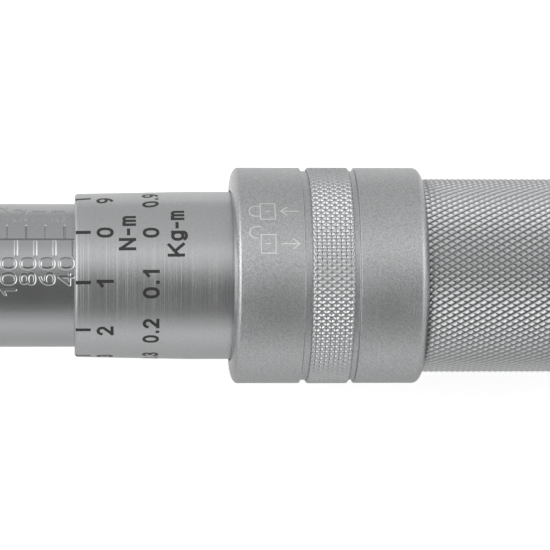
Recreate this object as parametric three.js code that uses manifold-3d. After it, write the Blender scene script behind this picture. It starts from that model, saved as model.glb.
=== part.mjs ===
// A click torque wrench of the micrometer type with a half-inch ratchet head, set from 40 to 200 N.m.
// It lies along X, from the head to the end cap, with the reversing lever on top.
// The origin is the centre of the drive square's end face. Lengths are in millimetres.
import * as THREE from "three";
import { mergeVertices } from "three/addons/utils/BufferGeometryUtils.js";
import Module from "manifold-3d";

const wasm = await Module();
wasm.setup();

// Fits between pieces
const FIT = 0.3; // gap between pieces that sit or slide in each other
const BALL_FIT = 0.1; // gap between the lock balls and the tube
const SLEEVE_FIT = 0.2; // gap between the handle's bore and the tube
const JOINED = 1; // depth that two solids share where they are joined into one piece

// Drive square and ratchet
const SQUARE = 12.7;
const SQUARE_LENGTH = 15.5;
const SQUARE_CORNER = 1.2;
const SQUARE_TIP_BEVEL = 0.8;
const GEAR_TEETH = 36;
const GEAR_TIP_RADIUS = 13.5;
const GEAR_TOOTH_DEPTH = 1.2;
const TOOTH_TIP_SHARE = 0.09; // half width of a tooth's tip, as a share of the pitch
const TOOTH_ROOT_SHARE = 0.41; // half width of a tooth's root, as a share of the pitch
const GEAR_JOURNAL_RADIUS = 10;
const GEAR_UPPER_JOURNAL_RADIUS = 8;
const DETENT_BALL_RADIUS = 2;
const DETENT_BALL_HEIGHT = 7; // of its centre over the square's end face
const DETENT_BALL_PROUD = 0.8;
const DETENT_BORE_DEPTH = 9;
const DETENT_WIRE = 0.6;
const DETENT_TURNS = 3;

// Head
const HEAD_WALL = 7.7; // round the gear's pocket
const HEAD_THICKNESS = 24;
const HEAD_EDGE = 1.5;
const HEAD_FLOOR = 3;
const BOSS_WALL = 8.7; // round the lever's bore
const COVER_THICKNESS = 2.7;
const COVER_RIM = 1.9; // head left standing round the cover
const NECK_RADIUS = 11.2;
const NECK_TAPER = 13;
const NECK_BEFORE_TUBE = 7; // slim part of the neck that shows before the tube
const TAIL_SIDE_FIT = 0.6; // room round the neck in the tube's mouth
const TAIL_LENGTH = 56; // from the pivot
const TAIL_TAPER_START = 2; // behind the pivot
const TAIL_END_FIT = 0.25; // left between the tilted tail and the bore
const TAIL_CHAMFER = 0.8;
const HEAD_TILT = 2.25; // degrees
const PIVOT_FROM_MOUTH = 12;
const PIVOT_PIN_RADIUS = 3;

// Pawl and reversing lever
const PAWL_PIVOT_STEP = 4.8; // from the gear's pocket to the pawl's pivot
const PAWL_PIVOT_RADIUS = 2;
const PAWL_HALF_WIDTH = 9.2;
const PAWL_SLANT = 1.9; // length of the slanted rear corners along X
const PAWL_SWING = 12; // degrees from one side to the other
const PAWL_SIDE_ROOM = 1.8;
const LEVER_STEP = 11.4; // from the pawl's pivot to the lever's axis
const LEVER_SHAFT_RADIUS = 5;
const LEVER_SWING = 60; // degrees from one side to the other
const LEVER_PLATE_THICKNESS = 4.6;
const LEVER_EDGE = 0.8;
const LEVER_HUB_RADIUS = 6.6;
const LEVER_TIP_RADIUS = 4;
const LEVER_LENGTH = 15;
const SELECTOR_RADIUS = 1.3;
const SELECTOR_LENGTH = 6;
const SELECTOR_REACH = 7.6; // of the sprung pin's tip from the lever's axis
const SELECTOR_WIRE = 0.4;
const SELECTOR_TURNS = 4;
const SELECTOR_BORE_DEPTH = 2.9; // past the lever's axis
const PAWL_BACK_GAP = 0.25; // between the pin's tip and the pawl at mid swing

// Cover screws
const SCREW_HEAD_RADIUS = 2.3;
const SCREW_RADIUS = 1.5;
const SCREW_HEAD_HEIGHT = 1.2;
const SCREW_LENGTH = 8;
const SCREW_HEX = 1.1; // radius of the hexagon socket
const SCREW_HEX_DEPTH = 0.9;

// Scale tube
const TUBE_RADIUS = 11.4;
const TUBE_BORE = 9.5;
const TUBE_START = 60;
const TUBE_LENGTH = 312;
const TUBE_CHAMFER = 0.4;
const FLUTES = 10;
const FLUTE_DEPTH = 0.3;
const FLUTE_RADIUS = 1.6;

// Click mechanism
const BLOCK_LENGTH = 9;
const BLOCK_WIDTH = 8;
const BLOCK_SEAT_DEPTH = 0.8; // of the shallow seats in the tail and the plunger
const PISTON_FIT = 0.3;
const PLUNGER_LENGTH = 22;
const PLUNGER_EDGE = 0.5;
const PLUNGER_GROOVE = 0.7;
const PLUNGER_GROOVE_WIDTH = 2;
const SPIGOT_FIT = 0.95; // room between a spigot and the spring that it holds
const SPIGOT_LENGTH = 7;
const SPIGOT_CHAMFER = 1;
const SPRING_WIRE = 3.6;
const SPRING_SIDE_ROOM = 0.75;
const SPRING_TURNS = 21;
const SEAT_FLANGE = 7;

// Adjusting screw and nut
const SCREW_TRAVEL = 24; // 16 turns of 1.5 mm
const THRUST_BALL_RADIUS = 3;
const BALL_STAND_OFF = 1.4; // from the ball's centre to the faces on both sides
const ADJUSTER_RADIUS = 6;
const ADJUSTER_CHAMFER = 1;
const ADJUSTER_FROM_LIP = 56.8; // from the sleeve's lip to the adjusting screw's front end
const STUD_RADIUS = 4;
const NUT_LENGTH = 16;
const NUT_FROM_END = 2;
const NUT_PIN_RADIUS = 1.5;

// Handle
const LIP_BEFORE_TUBE_END = 81; // the sleeve's front edge at 40 N.m, before the tube's rear end
const LIP_WALL = 1.45;
const THIMBLE_WALL = 1.8;
const THIMBLE_TAPER = 18;
const THIMBLE_LENGTH = 26;
const LIP_CHAMFER = 0.3;
const CORE_WALL = 1.4;
const GRIP_WALL = 3.9;
const GRIP_LENGTH = 126;
const GRIP_CHAMFER = 0.8;
const CAP_LENGTH = 7.7;
const CAP_STEP = 0.3; // the cap is this much slimmer than the grip
const CAP_ROUND = 2;
const CAP_SPIGOT = 13.8;
const CAP_NUT_RADIUS = 7.5; // over its corners
const CAP_NUT_HEIGHT = 4;
const CAP_NUT_ROOM = 0.8; // round the nut in the cap
const CAP_NUT_SUNK = 0.6; // below the cap's rear face

// Lock collar
const COLLAR_FROM_LIP = 24.8;
const COLLAR_WALL = 1.45; // round the spring's chamber
const COLLAR_LENGTH = 30.7;
const COLLAR_FRONT_ROUND = 1.15; // along the axis
const COLLAR_FRONT_FALL = 2.5; // of the same round towards the axis
const COLLAR_REAR_ROUND = 1.6;
const COLLAR_REAR_FALL = 2.9; // as far as the chamber lets it go
const COLLAR_RIM = 0.15; // flat of the rear face
const COLLAR_FRONT_BAND = 11;
const COLLAR_GROOVE_WIDTH = 1;
const COLLAR_GROOVE_DEPTH = 0.5;
const COLLAR_KNURL_WIDTH = 6.8;
const COLLAR_FRONT_WALL = 1.5;
const COLLAR_RECESS_WALL = 1.15; // round the recess that frees the balls
const COLLAR_LAND_START = 9.7; // from the collar's front face
const COLLAR_LAND_LENGTH = 6;
const COLLAR_OVER_GRIP = 1; // the grip's front lies this far inside the collar
const STOP_RING_WIDTH = 1.3;
const STOP_RING_CATCH = 0.4; // the ring stands this far over the land
const STOP_RING_GROOVE = 0.5;
const STOP_RING_SLOT = 3;
const LOCK_BALLS = 3;
const LOCK_BALL_RADIUS = 1.5;
const LAND_GAP = 0.3; // between the balls and the land that presses them
const WASHER_THICKNESS = 0.8;
const COLLAR_WIRE = 1.2;
const COLLAR_SPRING_TURNS = 4;
const COLLAR_SPRING_ROOM = 0.7; // between the spring and the chamber's wall

// Smoothness of curves
const FACETS = 32;
const INNER_FACETS = 24;
const SMALL_FACETS = 12;
const HEAD_FACETS = 48;
const OUTLINE_STEPS = 20;
const EDGE_STEPS = 3;
const ARC_STEPS = 4;
const HELIX_SIDES = 5;
const MERGE = 1e-4;

// Places and sizes that follow
const headBottom = SQUARE_LENGTH;
const headTop = headBottom + HEAD_THICKNESS;
const axisHeight = headBottom + HEAD_THICKNESS / 2;
const coverSeat = headTop - COVER_THICKNESS - FIT;
const pocketFloor = headBottom + HEAD_FLOOR;
const cavityRadius = GEAR_TIP_RADIUS + FIT;
const headRadius = cavityRadius + HEAD_WALL;
const leverBore = LEVER_SHAFT_RADIUS + FIT;
const bossRadius = leverBore + BOSS_WALL;
const coverRadius = headRadius - COVER_RIM;
const coverBossRadius = bossRadius - COVER_RIM;
const pawlPivotX = cavityRadius + PAWL_PIVOT_STEP;
const leverX = pawlPivotX + LEVER_STEP;
const pawlHornX = leverX - leverBore - FIT;
const pawlPocketHalfWidth = PAWL_HALF_WIDTH + PAWL_SIDE_ROOM;
const tubeEnd = TUBE_START + TUBE_LENGTH;
const pivotX = TUBE_START + PIVOT_FROM_MOUTH;
const tailEnd = pivotX + TAIL_LENGTH;
const tailRadius = TUBE_BORE - TAIL_SIDE_FIT;
const tailShift = TAIL_LENGTH * Math.sin(THREE.MathUtils.degToRad(HEAD_TILT));
const tailEndRadius = TUBE_BORE - tailShift - TAIL_END_FIT;
const blockStart = tailEnd - BLOCK_SEAT_DEPTH + FIT;
const blockEnd = blockStart + BLOCK_LENGTH;
const plungerStart = blockEnd + FIT - BLOCK_SEAT_DEPTH;
const plungerFlangeEnd = plungerStart + PLUNGER_LENGTH;
const pistonRadius = TUBE_BORE - PISTON_FIT;
const springRadius = TUBE_BORE - SPRING_SIDE_ROOM - SPRING_WIRE / 2; // of the wire's centre line
const spigotRadius = springRadius - SPRING_WIRE / 2 - SPIGOT_FIT;
const lipX = tubeEnd - LIP_BEFORE_TUBE_END;
const sleeveBore = TUBE_RADIUS + SLEEVE_FIT;
const lipRadius = sleeveBore + LIP_WALL;
const thimbleRadius = sleeveBore + THIMBLE_WALL;
const coreRadius = sleeveBore + CORE_WALL;
const gripRadius = sleeveBore + GRIP_WALL;
const adjusterStart = lipX + ADJUSTER_FROM_LIP;
const thrustBallX = adjusterStart - BALL_STAND_OFF;
const seatEnd = thrustBallX - BALL_STAND_OFF;
const seatFlangeStart = seatEnd - SEAT_FLANGE;
const chamberRadius = gripRadius + FIT;
const collarRadius = chamberRadius + COLLAR_WALL;
const collarStart = lipX + COLLAR_FROM_LIP;
const collarEnd = collarStart + COLLAR_LENGTH;
const landStart = collarStart + COLLAR_LAND_START;
const landEnd = landStart + COLLAR_LAND_LENGTH;
const ballX = (landStart + landEnd) / 2;
const ballCentreRadius = TUBE_RADIUS + BALL_FIT + LOCK_BALL_RADIUS;
const landRadius = ballCentreRadius + LOCK_BALL_RADIUS + LAND_GAP;
const ringStart = landStart - FIT - STOP_RING_WIDTH;
const gripStart = collarEnd - COLLAR_OVER_GRIP;
const gripEnd = gripStart + GRIP_LENGTH;
const capStart = gripEnd + FIT;
const capEnd = capStart + CAP_LENGTH;
const capRadius = gripRadius - CAP_STEP;
const capRecessStart = capEnd - CAP_NUT_SUNK - CAP_NUT_HEIGHT - FIT;
const spigotStart = capStart - CAP_SPIGOT;
const nutEnd = tubeEnd - NUT_FROM_END;

// A geometry as a solid that can be cut and joined.
function toSolid(geometry) {
  const bare = new THREE.BufferGeometry();
  bare.setAttribute("position", geometry.getAttribute("position"));
  if (geometry.index) bare.setIndex(geometry.index);
  const merged = mergeVertices(bare, MERGE);
  const mesh = new wasm.Mesh({
    numProp: 3,
    vertProperties: new Float32Array(merged.attributes.position.array),
    triVerts: new Uint32Array(merged.index.array),
  });
  return new wasm.Manifold(mesh);
}

function toGeometry(solid) {
  const made = solid.getMesh();
  const geometry = new THREE.BufferGeometry();
  const points = new Float32Array(made.numVert * 3);
  for (let i = 0; i < made.numVert; i++) {
    points.set(made.vertProperties.subarray(i * made.numProp, i * made.numProp + 3), i * 3);
  }
  geometry.setAttribute("position", new THREE.BufferAttribute(points, 3));
  geometry.setIndex(new THREE.BufferAttribute(made.triVerts, 1));
  geometry.computeVertexNormals();
  return geometry;
}

function cut(geometry, tools) {
  let solid = toSolid(geometry);
  for (const tool of tools) solid = solid.subtract(toSolid(tool));
  return toGeometry(solid);
}

function join(geometries) {
  let solid = toSolid(geometries[0]);
  for (const other of geometries.slice(1)) solid = solid.add(toSolid(other));
  return toGeometry(solid);
}

// A body turned about X from [x, radius] points, on or round the axis.
function turned(profile, facets = FACETS) {
  const points = profile.map(([x, radius]) => new THREE.Vector2(radius, x));
  if (THREE.ShapeUtils.area(points) < 0) points.reverse();
  const onAxis = points[0].x === 0 || points.at(-1).x === 0;
  if (!onAxis) points.push(points[0].clone());
  return new THREE.LatheGeometry(points, facets).rotateZ(-Math.PI / 2);
}

// A rounded outer edge of a turned piece, as profile points from its end face to its full radius.
// It is a quarter of an oval with the given half axes, cut off at drop inside the full radius.
function roundedEdge(face, radius, alongX, inward, drop = inward) {
  const start = Math.asin(1 - drop / inward);
  const points = [];
  for (let i = 0; i <= ARC_STEPS; i++) {
    const a = start + (i / ARC_STEPS) * (Math.PI / 2 - start);
    points.push([face + alongX * (Math.cos(start) - Math.cos(a)), radius - inward * (1 - Math.sin(a))]);
  }
  return points;
}

// A straight cylinder along Z.
function pillar(radius, x, y, z0, z1, facets = SMALL_FACETS) {
  const geometry = new THREE.CylinderGeometry(radius, radius, z1 - z0, facets);
  return geometry.rotateX(Math.PI / 2).translate(x, y, (z0 + z1) / 2);
}

// A straight cylinder that points away from the X axis at the given angle, counted from Y towards Z.
function spoke(radius, x, angle, r0, r1, facets = SMALL_FACETS) {
  const geometry = new THREE.CylinderGeometry(radius, radius, r1 - r0, facets);
  return geometry.translate(0, (r0 + r1) / 2, 0).rotateX(angle).translate(x, 0, 0);
}

// A flat outline raised from z0 to z1, with a bevel inside the outline if one is given.
function raised(shape, z0, z1, bevel = 0) {
  const geometry = new THREE.ExtrudeGeometry(shape, {
    depth: z1 - z0 - 2 * bevel,
    curveSegments: OUTLINE_STEPS,
    bevelEnabled: bevel > 0,
    bevelThickness: bevel,
    bevelSize: bevel,
    bevelOffset: -bevel,
    bevelSegments: EDGE_STEPS,
  });
  return geometry.translate(0, 0, z0 + bevel);
}

// The outline of a belt round two circles on the X axis.
function beltShape(r0, x0, r1, x1) {
  const lean = Math.asin((r0 - r1) / (x1 - x0));
  const shape = new THREE.Shape();
  shape.absarc(x0, 0, r0, Math.PI / 2 - lean, (3 * Math.PI) / 2 + lean, false);
  shape.absarc(x1, 0, r1, -Math.PI / 2 + lean, Math.PI / 2 - lean, false);
  return shape;
}

// A helical spring along X with even pitch. Its least gap to itself is printed.
function coil(name, { from, to, radius, wire, turns, steps }) {
  const rings = turns * steps;
  const half = wire / 2;
  const advance = (to - from - wire) / rings;
  const centres = [];
  const positions = [];
  for (let i = 0; i <= rings; i++) {
    const a = (i / steps) * 2 * Math.PI;
    const out = new THREE.Vector3(0, Math.cos(a), Math.sin(a));
    const round = new THREE.Vector3(0, -Math.sin(a), Math.cos(a)).multiplyScalar(2 * Math.PI * radius);
    const along = round.setX(advance * steps).normalize();
    const side = along.clone().cross(out);
    const centre = out.clone().multiplyScalar(radius);
    centre.x = from + half + advance * i;
    centres.push(centre);
    for (let k = 0; k < HELIX_SIDES; k++) {
      const b = (k / HELIX_SIDES) * 2 * Math.PI;
      const p = centre.clone().addScaledVector(out, half * Math.cos(b));
      p.addScaledVector(side, half * Math.sin(b));
      positions.push(p.x, p.y, p.z);
    }
  }
  const index = [];
  for (let i = 0; i < rings; i++) {
    for (let k = 0; k < HELIX_SIDES; k++) {
      const a = i * HELIX_SIDES + k;
      const b = i * HELIX_SIDES + ((k + 1) % HELIX_SIDES);
      index.push(a, b, a + HELIX_SIDES, b, b + HELIX_SIDES, a + HELIX_SIDES);
    }
  }
  const last = rings * HELIX_SIDES;
  for (let k = 1; k < HELIX_SIDES - 1; k++) {
    index.push(0, k + 1, k, last, last + k, last + k + 1);
  }
  let least = Infinity;
  for (let i = 0; i < centres.length; i++) {
    for (let j = i + Math.floor(steps / 2); j < centres.length; j++) {
      least = Math.min(least, centres[i].distanceTo(centres[j]) - wire);
    }
  }
  console.log(name + ": least gap to itself " + least.toFixed(2) + " mm");
  const geometry = new THREE.BufferGeometry();
  geometry.setAttribute("position", new THREE.Float32BufferAttribute(positions, 3));
  geometry.setIndex(index);
  geometry.computeVertexNormals();
  return geometry;
}

// Finishes
const chromed = new THREE.MeshStandardMaterial({ color: 0xc4c5c6, roughness: 0.28, metalness: 1 });
const satin = new THREE.MeshStandardMaterial({ color: 0xb4b5b6, roughness: 0.38, metalness: 1 });
const bareSteel = new THREE.MeshStandardMaterial({ color: 0x8f9091, roughness: 0.4, metalness: 1 });
const hardened = new THREE.MeshStandardMaterial({ color: 0x6f7072, roughness: 0.5, metalness: 0.9 });
const springSteel = new THREE.MeshStandardMaterial({ color: 0x5c5e61, roughness: 0.45, metalness: 0.9 });

function piece(name, geometry, material, parent) {
  const mesh = new THREE.Mesh(geometry, material);
  mesh.name = name;
  parent.add(mesh);
  return mesh;
}

const wrench = new THREE.Group();
const head = new THREE.Group();
const barrel = new THREE.Group();
barrel.position.z = axisHeight;
const lever = new THREE.Group();
lever.position.x = leverX;
lever.rotation.z = THREE.MathUtils.degToRad(-LEVER_SWING / 2);
const handle = new THREE.Group();
barrel.add(handle);
wrench.add(head, lever, barrel);

// Ratchet head: a teardrop body with a turned neck and tail, hollowed from above for the ratchet.
const headOutline = beltShape(headRadius, 0, bossRadius, leverX);
const coverOutline = (inset) => beltShape(coverRadius - inset, 0, coverBossRadius - inset, leverX);
const slimNeckStart = TUBE_START - NECK_BEFORE_TUBE;
const neckAndTail = turned(
  [
    [leverX, 0],
    [leverX, NECK_RADIUS],
    [slimNeckStart - NECK_TAPER, NECK_RADIUS],
    [slimNeckStart, tailRadius],
    [pivotX + TAIL_TAPER_START, tailRadius],
    [tailEnd - TAIL_CHAMFER, tailEndRadius],
    [tailEnd, tailEndRadius - TAIL_CHAMFER],
    [tailEnd, 0],
  ],
  HEAD_FACETS,
).translate(0, 0, axisHeight);
const pawlPocket = new THREE.Shape([
  new THREE.Vector2(0, -pawlPocketHalfWidth),
  new THREE.Vector2(pawlHornX, -pawlPocketHalfWidth),
  new THREE.Vector2(leverX, -leverBore),
  new THREE.Vector2(leverX, leverBore),
  new THREE.Vector2(pawlHornX, pawlPocketHalfWidth),
  new THREE.Vector2(0, pawlPocketHalfWidth),
]);
// Each screw lies halfway between a bore and the cover's edge.
const screwCircle = (cavityRadius + coverRadius - FIT) / 2;
const rearScrewX = leverX + (leverBore + coverBossRadius - FIT) / 2;
const screwPlaces = [
  [-screwCircle * Math.SQRT1_2, screwCircle * Math.SQRT1_2],
  [-screwCircle * Math.SQRT1_2, -screwCircle * Math.SQRT1_2],
  [rearScrewX, 0],
];
const screwTop = headTop - FIT / 2;
const screwEnd = screwTop - SCREW_LENGTH;
const blockSeatWidth = BLOCK_WIDTH + 2 * FIT;
const blockSeat = (x) =>
  new THREE.BoxGeometry(2 * BLOCK_SEAT_DEPTH, blockSeatWidth, blockSeatWidth).translate(x, 0, 0);
const aboveHead = headTop + FIT;
const headBlank = join([raised(headOutline, headBottom, headTop, HEAD_EDGE), neckAndTail]);
const pawlPivotBottom = pocketFloor - HEAD_FLOOR / 2;
const pawlPivotTop = coverSeat + COVER_THICKNESS / 2;
const headBody = cut(headBlank, [
  pillar(cavityRadius, 0, 0, pocketFloor, aboveHead, HEAD_FACETS),
  raised(pawlPocket, pocketFloor, aboveHead),
  pillar(leverBore, leverX, 0, pocketFloor, aboveHead, FACETS),
  raised(coverOutline(0), coverSeat, aboveHead),
  pillar(GEAR_JOURNAL_RADIUS + FIT, 0, 0, headBottom - FIT, aboveHead, HEAD_FACETS),
  pillar(PAWL_PIVOT_RADIUS + FIT, pawlPivotX, 0, pawlPivotBottom - FIT, aboveHead),
  pillar(PIVOT_PIN_RADIUS + FIT, pivotX, 0, 0, aboveHead),
  blockSeat(tailEnd).translate(0, 0, axisHeight),
  ...screwPlaces.map(([x, y]) => pillar(SCREW_RADIUS + FIT, x, y, screwEnd - FIT, aboveHead)),
]);
piece("ratchet_head", headBody, chromed, head);

// Cover with countersunk socket screws. A screw grown by the fit leaves its seat in the cover.
function screwShape(grown) {
  const profile = [
    [-SCREW_LENGTH, 0],
    [-SCREW_LENGTH, SCREW_RADIUS + grown],
    [-SCREW_HEAD_HEIGHT, SCREW_RADIUS + grown],
    [grown, SCREW_HEAD_RADIUS + grown],
    [grown, 0],
  ];
  return turned(profile, SMALL_FACETS).rotateY(-Math.PI / 2);
}
const screwBody = cut(screwShape(0), [pillar(SCREW_HEX, 0, 0, -SCREW_HEX_DEPTH, FIT, 6)]);
const coverBody = cut(raised(coverOutline(FIT), coverSeat + FIT, headTop), [
  pillar(GEAR_UPPER_JOURNAL_RADIUS + FIT, 0, 0, coverSeat, aboveHead, HEAD_FACETS),
  pillar(leverBore, leverX, 0, coverSeat, aboveHead, FACETS),
  pillar(PAWL_PIVOT_RADIUS + FIT, pawlPivotX, 0, coverSeat, pawlPivotTop + FIT),
  ...screwPlaces.map(([x, y]) => screwShape(FIT).translate(x, y, screwTop)),
]);
piece("cover_plate", coverBody, satin, head);
screwPlaces.forEach(([x, y], i) => {
  piece("cover_screw_" + (i + 1), screwBody, hardened, head).position.set(x, y, screwTop);
});

// Ratchet gear in one piece with its journals and the drive square.
function gearShape(tipRadius, rootRadius, tipShare, rootShare) {
  const pitch = (2 * Math.PI) / GEAR_TEETH;
  const corners = [
    [rootRadius, -rootShare],
    [tipRadius, -tipShare],
    [tipRadius, tipShare],
    [rootRadius, rootShare],
  ];
  const points = [];
  for (let i = 0; i < GEAR_TEETH; i++) {
    for (const [radius, share] of corners) {
      const a = (i + share) * pitch;
      points.push(new THREE.Vector2(radius * Math.cos(a), radius * Math.sin(a)));
    }
  }
  return new THREE.Shape(points);
}
const gearRoot = GEAR_TIP_RADIUS - GEAR_TOOTH_DEPTH;
const gearOutline = gearShape(GEAR_TIP_RADIUS, gearRoot, TOOTH_TIP_SHARE, TOOTH_ROOT_SHARE);
const gearBottom = pocketFloor + FIT;
const gearTop = coverSeat - FIT;
const squareShape = new THREE.Shape();
const squareFlat = SQUARE / 2 - SQUARE_CORNER;
for (let i = 0; i < 4; i++) {
  const a = (i * Math.PI) / 2;
  squareShape.absarc(
    squareFlat * (Math.cos(a) - Math.sin(a)),
    squareFlat * (Math.sin(a) + Math.cos(a)),
    SQUARE_CORNER,
    a,
    a + Math.PI / 2,
    false,
  );
}
const detentX = -(SQUARE / 2 + DETENT_BALL_PROUD - DETENT_BALL_RADIUS);
const detentBoreEnd = -SQUARE / 2 + DETENT_BORE_DEPTH;
const detentBore = new THREE.CylinderGeometry(
  DETENT_BALL_RADIUS + FIT,
  DETENT_BALL_RADIUS + FIT,
  DETENT_BORE_DEPTH + FIT,
  SMALL_FACETS,
)
  .rotateZ(Math.PI / 2)
  .translate(detentBoreEnd - (DETENT_BORE_DEPTH + FIT) / 2, 0, DETENT_BALL_HEIGHT);
const gearBody = cut(
  join([
    raised(gearOutline, gearBottom, gearTop),
    pillar(GEAR_JOURNAL_RADIUS, 0, 0, headBottom, gearBottom + JOINED, HEAD_FACETS),
    pillar(GEAR_UPPER_JOURNAL_RADIUS, 0, 0, gearTop - JOINED, headTop - FIT, HEAD_FACETS),
    raised(squareShape, 0, gearBottom, SQUARE_TIP_BEVEL),
  ]),
  [detentBore],
);
piece("drive_gear", gearBody, bareSteel, head);
const detentBall = new THREE.SphereGeometry(DETENT_BALL_RADIUS, SMALL_FACETS, SMALL_FACETS / 2);
piece("socket_ball", detentBall, bareSteel, head).position.set(detentX, 0, DETENT_BALL_HEIGHT);
const detentSpring = coil("socket_ball_spring", {
  from: detentX + DETENT_BALL_RADIUS + FIT,
  to: detentBoreEnd - FIT,
  radius: DETENT_BALL_RADIUS + FIT - DETENT_WIRE,
  wire: DETENT_WIRE,
  turns: DETENT_TURNS,
  steps: 12,
});
piece("socket_ball_spring", detentSpring, springSteel, head).position.z = DETENT_BALL_HEIGHT;

// Rocking pawl. Its teeth are the gear's own gaps, left at every angle of the swing.
const pawlBottom = pocketFloor + FIT;
const pawlTop = coverSeat - FIT;
const pawlBackRadius = SELECTOR_REACH + PAWL_BACK_GAP;
const backHalf = Math.sqrt(pawlBackRadius ** 2 - (leverX - pawlHornX) ** 2);
const pawlShape = new THREE.Shape();
pawlShape.moveTo(0, -PAWL_HALF_WIDTH);
pawlShape.lineTo(pawlHornX - PAWL_SLANT, -PAWL_HALF_WIDTH);
pawlShape.lineTo(pawlHornX, -backHalf);
const backAngle = Math.atan2(backHalf, pawlHornX - leverX);
pawlShape.absarc(leverX, 0, pawlBackRadius, -backAngle, backAngle - 2 * Math.PI, true);
pawlShape.lineTo(pawlHornX - PAWL_SLANT, PAWL_HALF_WIDTH);
pawlShape.lineTo(0, PAWL_HALF_WIDTH);
// The gear grown by the fit on its tips, roots and flanks.
const toothPitch = ((2 * Math.PI) / GEAR_TEETH) * (GEAR_TIP_RADIUS - GEAR_TOOTH_DEPTH / 2);
const flankRun = (TOOTH_ROOT_SHARE - TOOTH_TIP_SHARE) * toothPitch;
const flankLength = Math.hypot(GEAR_TOOTH_DEPTH, flankRun);
const flankShare = (FIT * (flankLength - flankRun)) / GEAR_TOOTH_DEPTH / toothPitch;
const grownOutline = gearShape(
  GEAR_TIP_RADIUS + FIT,
  gearRoot + FIT,
  TOOTH_TIP_SHARE + flankShare,
  TOOTH_ROOT_SHARE + flankShare,
);
const gearSpace = raised(grownOutline, pocketFloor, coverSeat);
const swing = THREE.MathUtils.degToRad(PAWL_SWING);
const rockSteps = 6;
const gearSeenFromPawl = [];
for (let i = 0; i <= rockSteps; i++) {
  const tool = gearSpace.clone().translate(-pawlPivotX, 0, 0);
  gearSeenFromPawl.push(tool.rotateZ((i / rockSteps) * swing - swing / 2));
}
const pawlBlank = join([
  raised(pawlShape, pawlBottom, pawlTop),
  pillar(PAWL_PIVOT_RADIUS, pawlPivotX, 0, pawlPivotBottom, pawlPivotTop),
]).translate(-pawlPivotX, 0, 0);
const pawl = piece("pawl", cut(pawlBlank, gearSeenFromPawl), hardened, head);
pawl.position.x = pawlPivotX;
pawl.rotation.z = swing / 2;

// Reversing lever: a thumb plate on a shaft whose cross bore holds the sprung pin.
const leverBottom = pocketFloor + FIT;
const leverPlateBottom = headTop + FIT;
const leverPlateTop = leverPlateBottom + LEVER_PLATE_THICKNESS;
const selectorHeight = (pawlBottom + pawlTop) / 2;
const selectorAxis = (radius, from, to) =>
  new THREE.CylinderGeometry(radius, radius, to - from, SMALL_FACETS)
    .rotateZ(Math.PI / 2)
    .translate(-(from + to) / 2, 0, selectorHeight);
const thumbPlate = beltShape(LEVER_HUB_RADIUS, 0, LEVER_TIP_RADIUS, LEVER_LENGTH);
const leverBody = cut(
  join([
    pillar(LEVER_SHAFT_RADIUS, 0, 0, leverBottom, leverPlateBottom + JOINED, FACETS),
    raised(thumbPlate, leverPlateBottom, leverPlateTop, LEVER_EDGE),
  ]),
  [selectorAxis(SELECTOR_RADIUS + FIT, -SELECTOR_BORE_DEPTH, leverBore)],
);
piece("reversing_lever", leverBody, chromed, lever);
const selectorStart = SELECTOR_REACH - SELECTOR_LENGTH;
const selectorProfile = [
  [selectorStart, 0],
  [selectorStart, SELECTOR_RADIUS],
  ...roundedEdge(SELECTOR_REACH, SELECTOR_RADIUS, -SELECTOR_RADIUS, SELECTOR_RADIUS).reverse(),
];
const selectorPin = turned(selectorProfile, SMALL_FACETS).rotateZ(Math.PI).translate(0, 0, selectorHeight);
piece("selector_plunger", selectorPin, hardened, lever);
const selectorSpring = coil("selector_spring", {
  from: -selectorStart + FIT,
  to: SELECTOR_BORE_DEPTH - FIT,
  radius: SELECTOR_RADIUS - SELECTOR_WIRE,
  wire: SELECTOR_WIRE,
  turns: SELECTOR_TURNS,
  steps: 8,
});
piece("selector_spring", selectorSpring, springSteel, lever).position.z = selectorHeight;

// Scale tube, cross bored for the pivot pin and the nut's pins, with shallow flutes under the sleeve.
const tubeBlank = turned([
  [TUBE_START, TUBE_BORE],
  [TUBE_START, TUBE_RADIUS - TUBE_CHAMFER],
  [TUBE_START + TUBE_CHAMFER, TUBE_RADIUS],
  [tubeEnd - TUBE_CHAMFER, TUBE_RADIUS],
  [tubeEnd, TUBE_RADIUS - TUBE_CHAMFER],
  [tubeEnd, TUBE_BORE],
]);
const nutPinX = nutEnd - NUT_LENGTH / 2;
const pinAngles = [Math.PI / 2, -Math.PI / 2];
const fluteStart = ballX - SCREW_TRAVEL - 2 * LOCK_BALL_RADIUS;
const fluteEnd = ballX + 2 * LOCK_BALL_RADIUS;
const flutes = Array.from({ length: FLUTES }, (_, i) =>
  new THREE.CylinderGeometry(FLUTE_RADIUS, FLUTE_RADIUS, fluteEnd - fluteStart, 8)
    .rotateZ(Math.PI / 2)
    .translate((fluteStart + fluteEnd) / 2, TUBE_RADIUS - FLUTE_DEPTH + FLUTE_RADIUS, 0)
    .rotateX(((i + 0.5) / FLUTES) * 2 * Math.PI),
);
const tubeBody = cut(tubeBlank, [
  pillar(PIVOT_PIN_RADIUS + FIT, pivotX, 0, -2 * TUBE_RADIUS, 2 * TUBE_RADIUS),
  ...pinAngles.map((angle) => spoke(NUT_PIN_RADIUS + FIT, nutPinX, angle, TUBE_BORE / 2, 2 * TUBE_RADIUS)),
  ...flutes,
]);
piece("tube", tubeBody, chromed, barrel);
const pivotPin = pillar(PIVOT_PIN_RADIUS, pivotX, 0, -TUBE_RADIUS + FIT, TUBE_RADIUS - FIT);
piece("pivot_pin", pivotPin, hardened, barrel);

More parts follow.
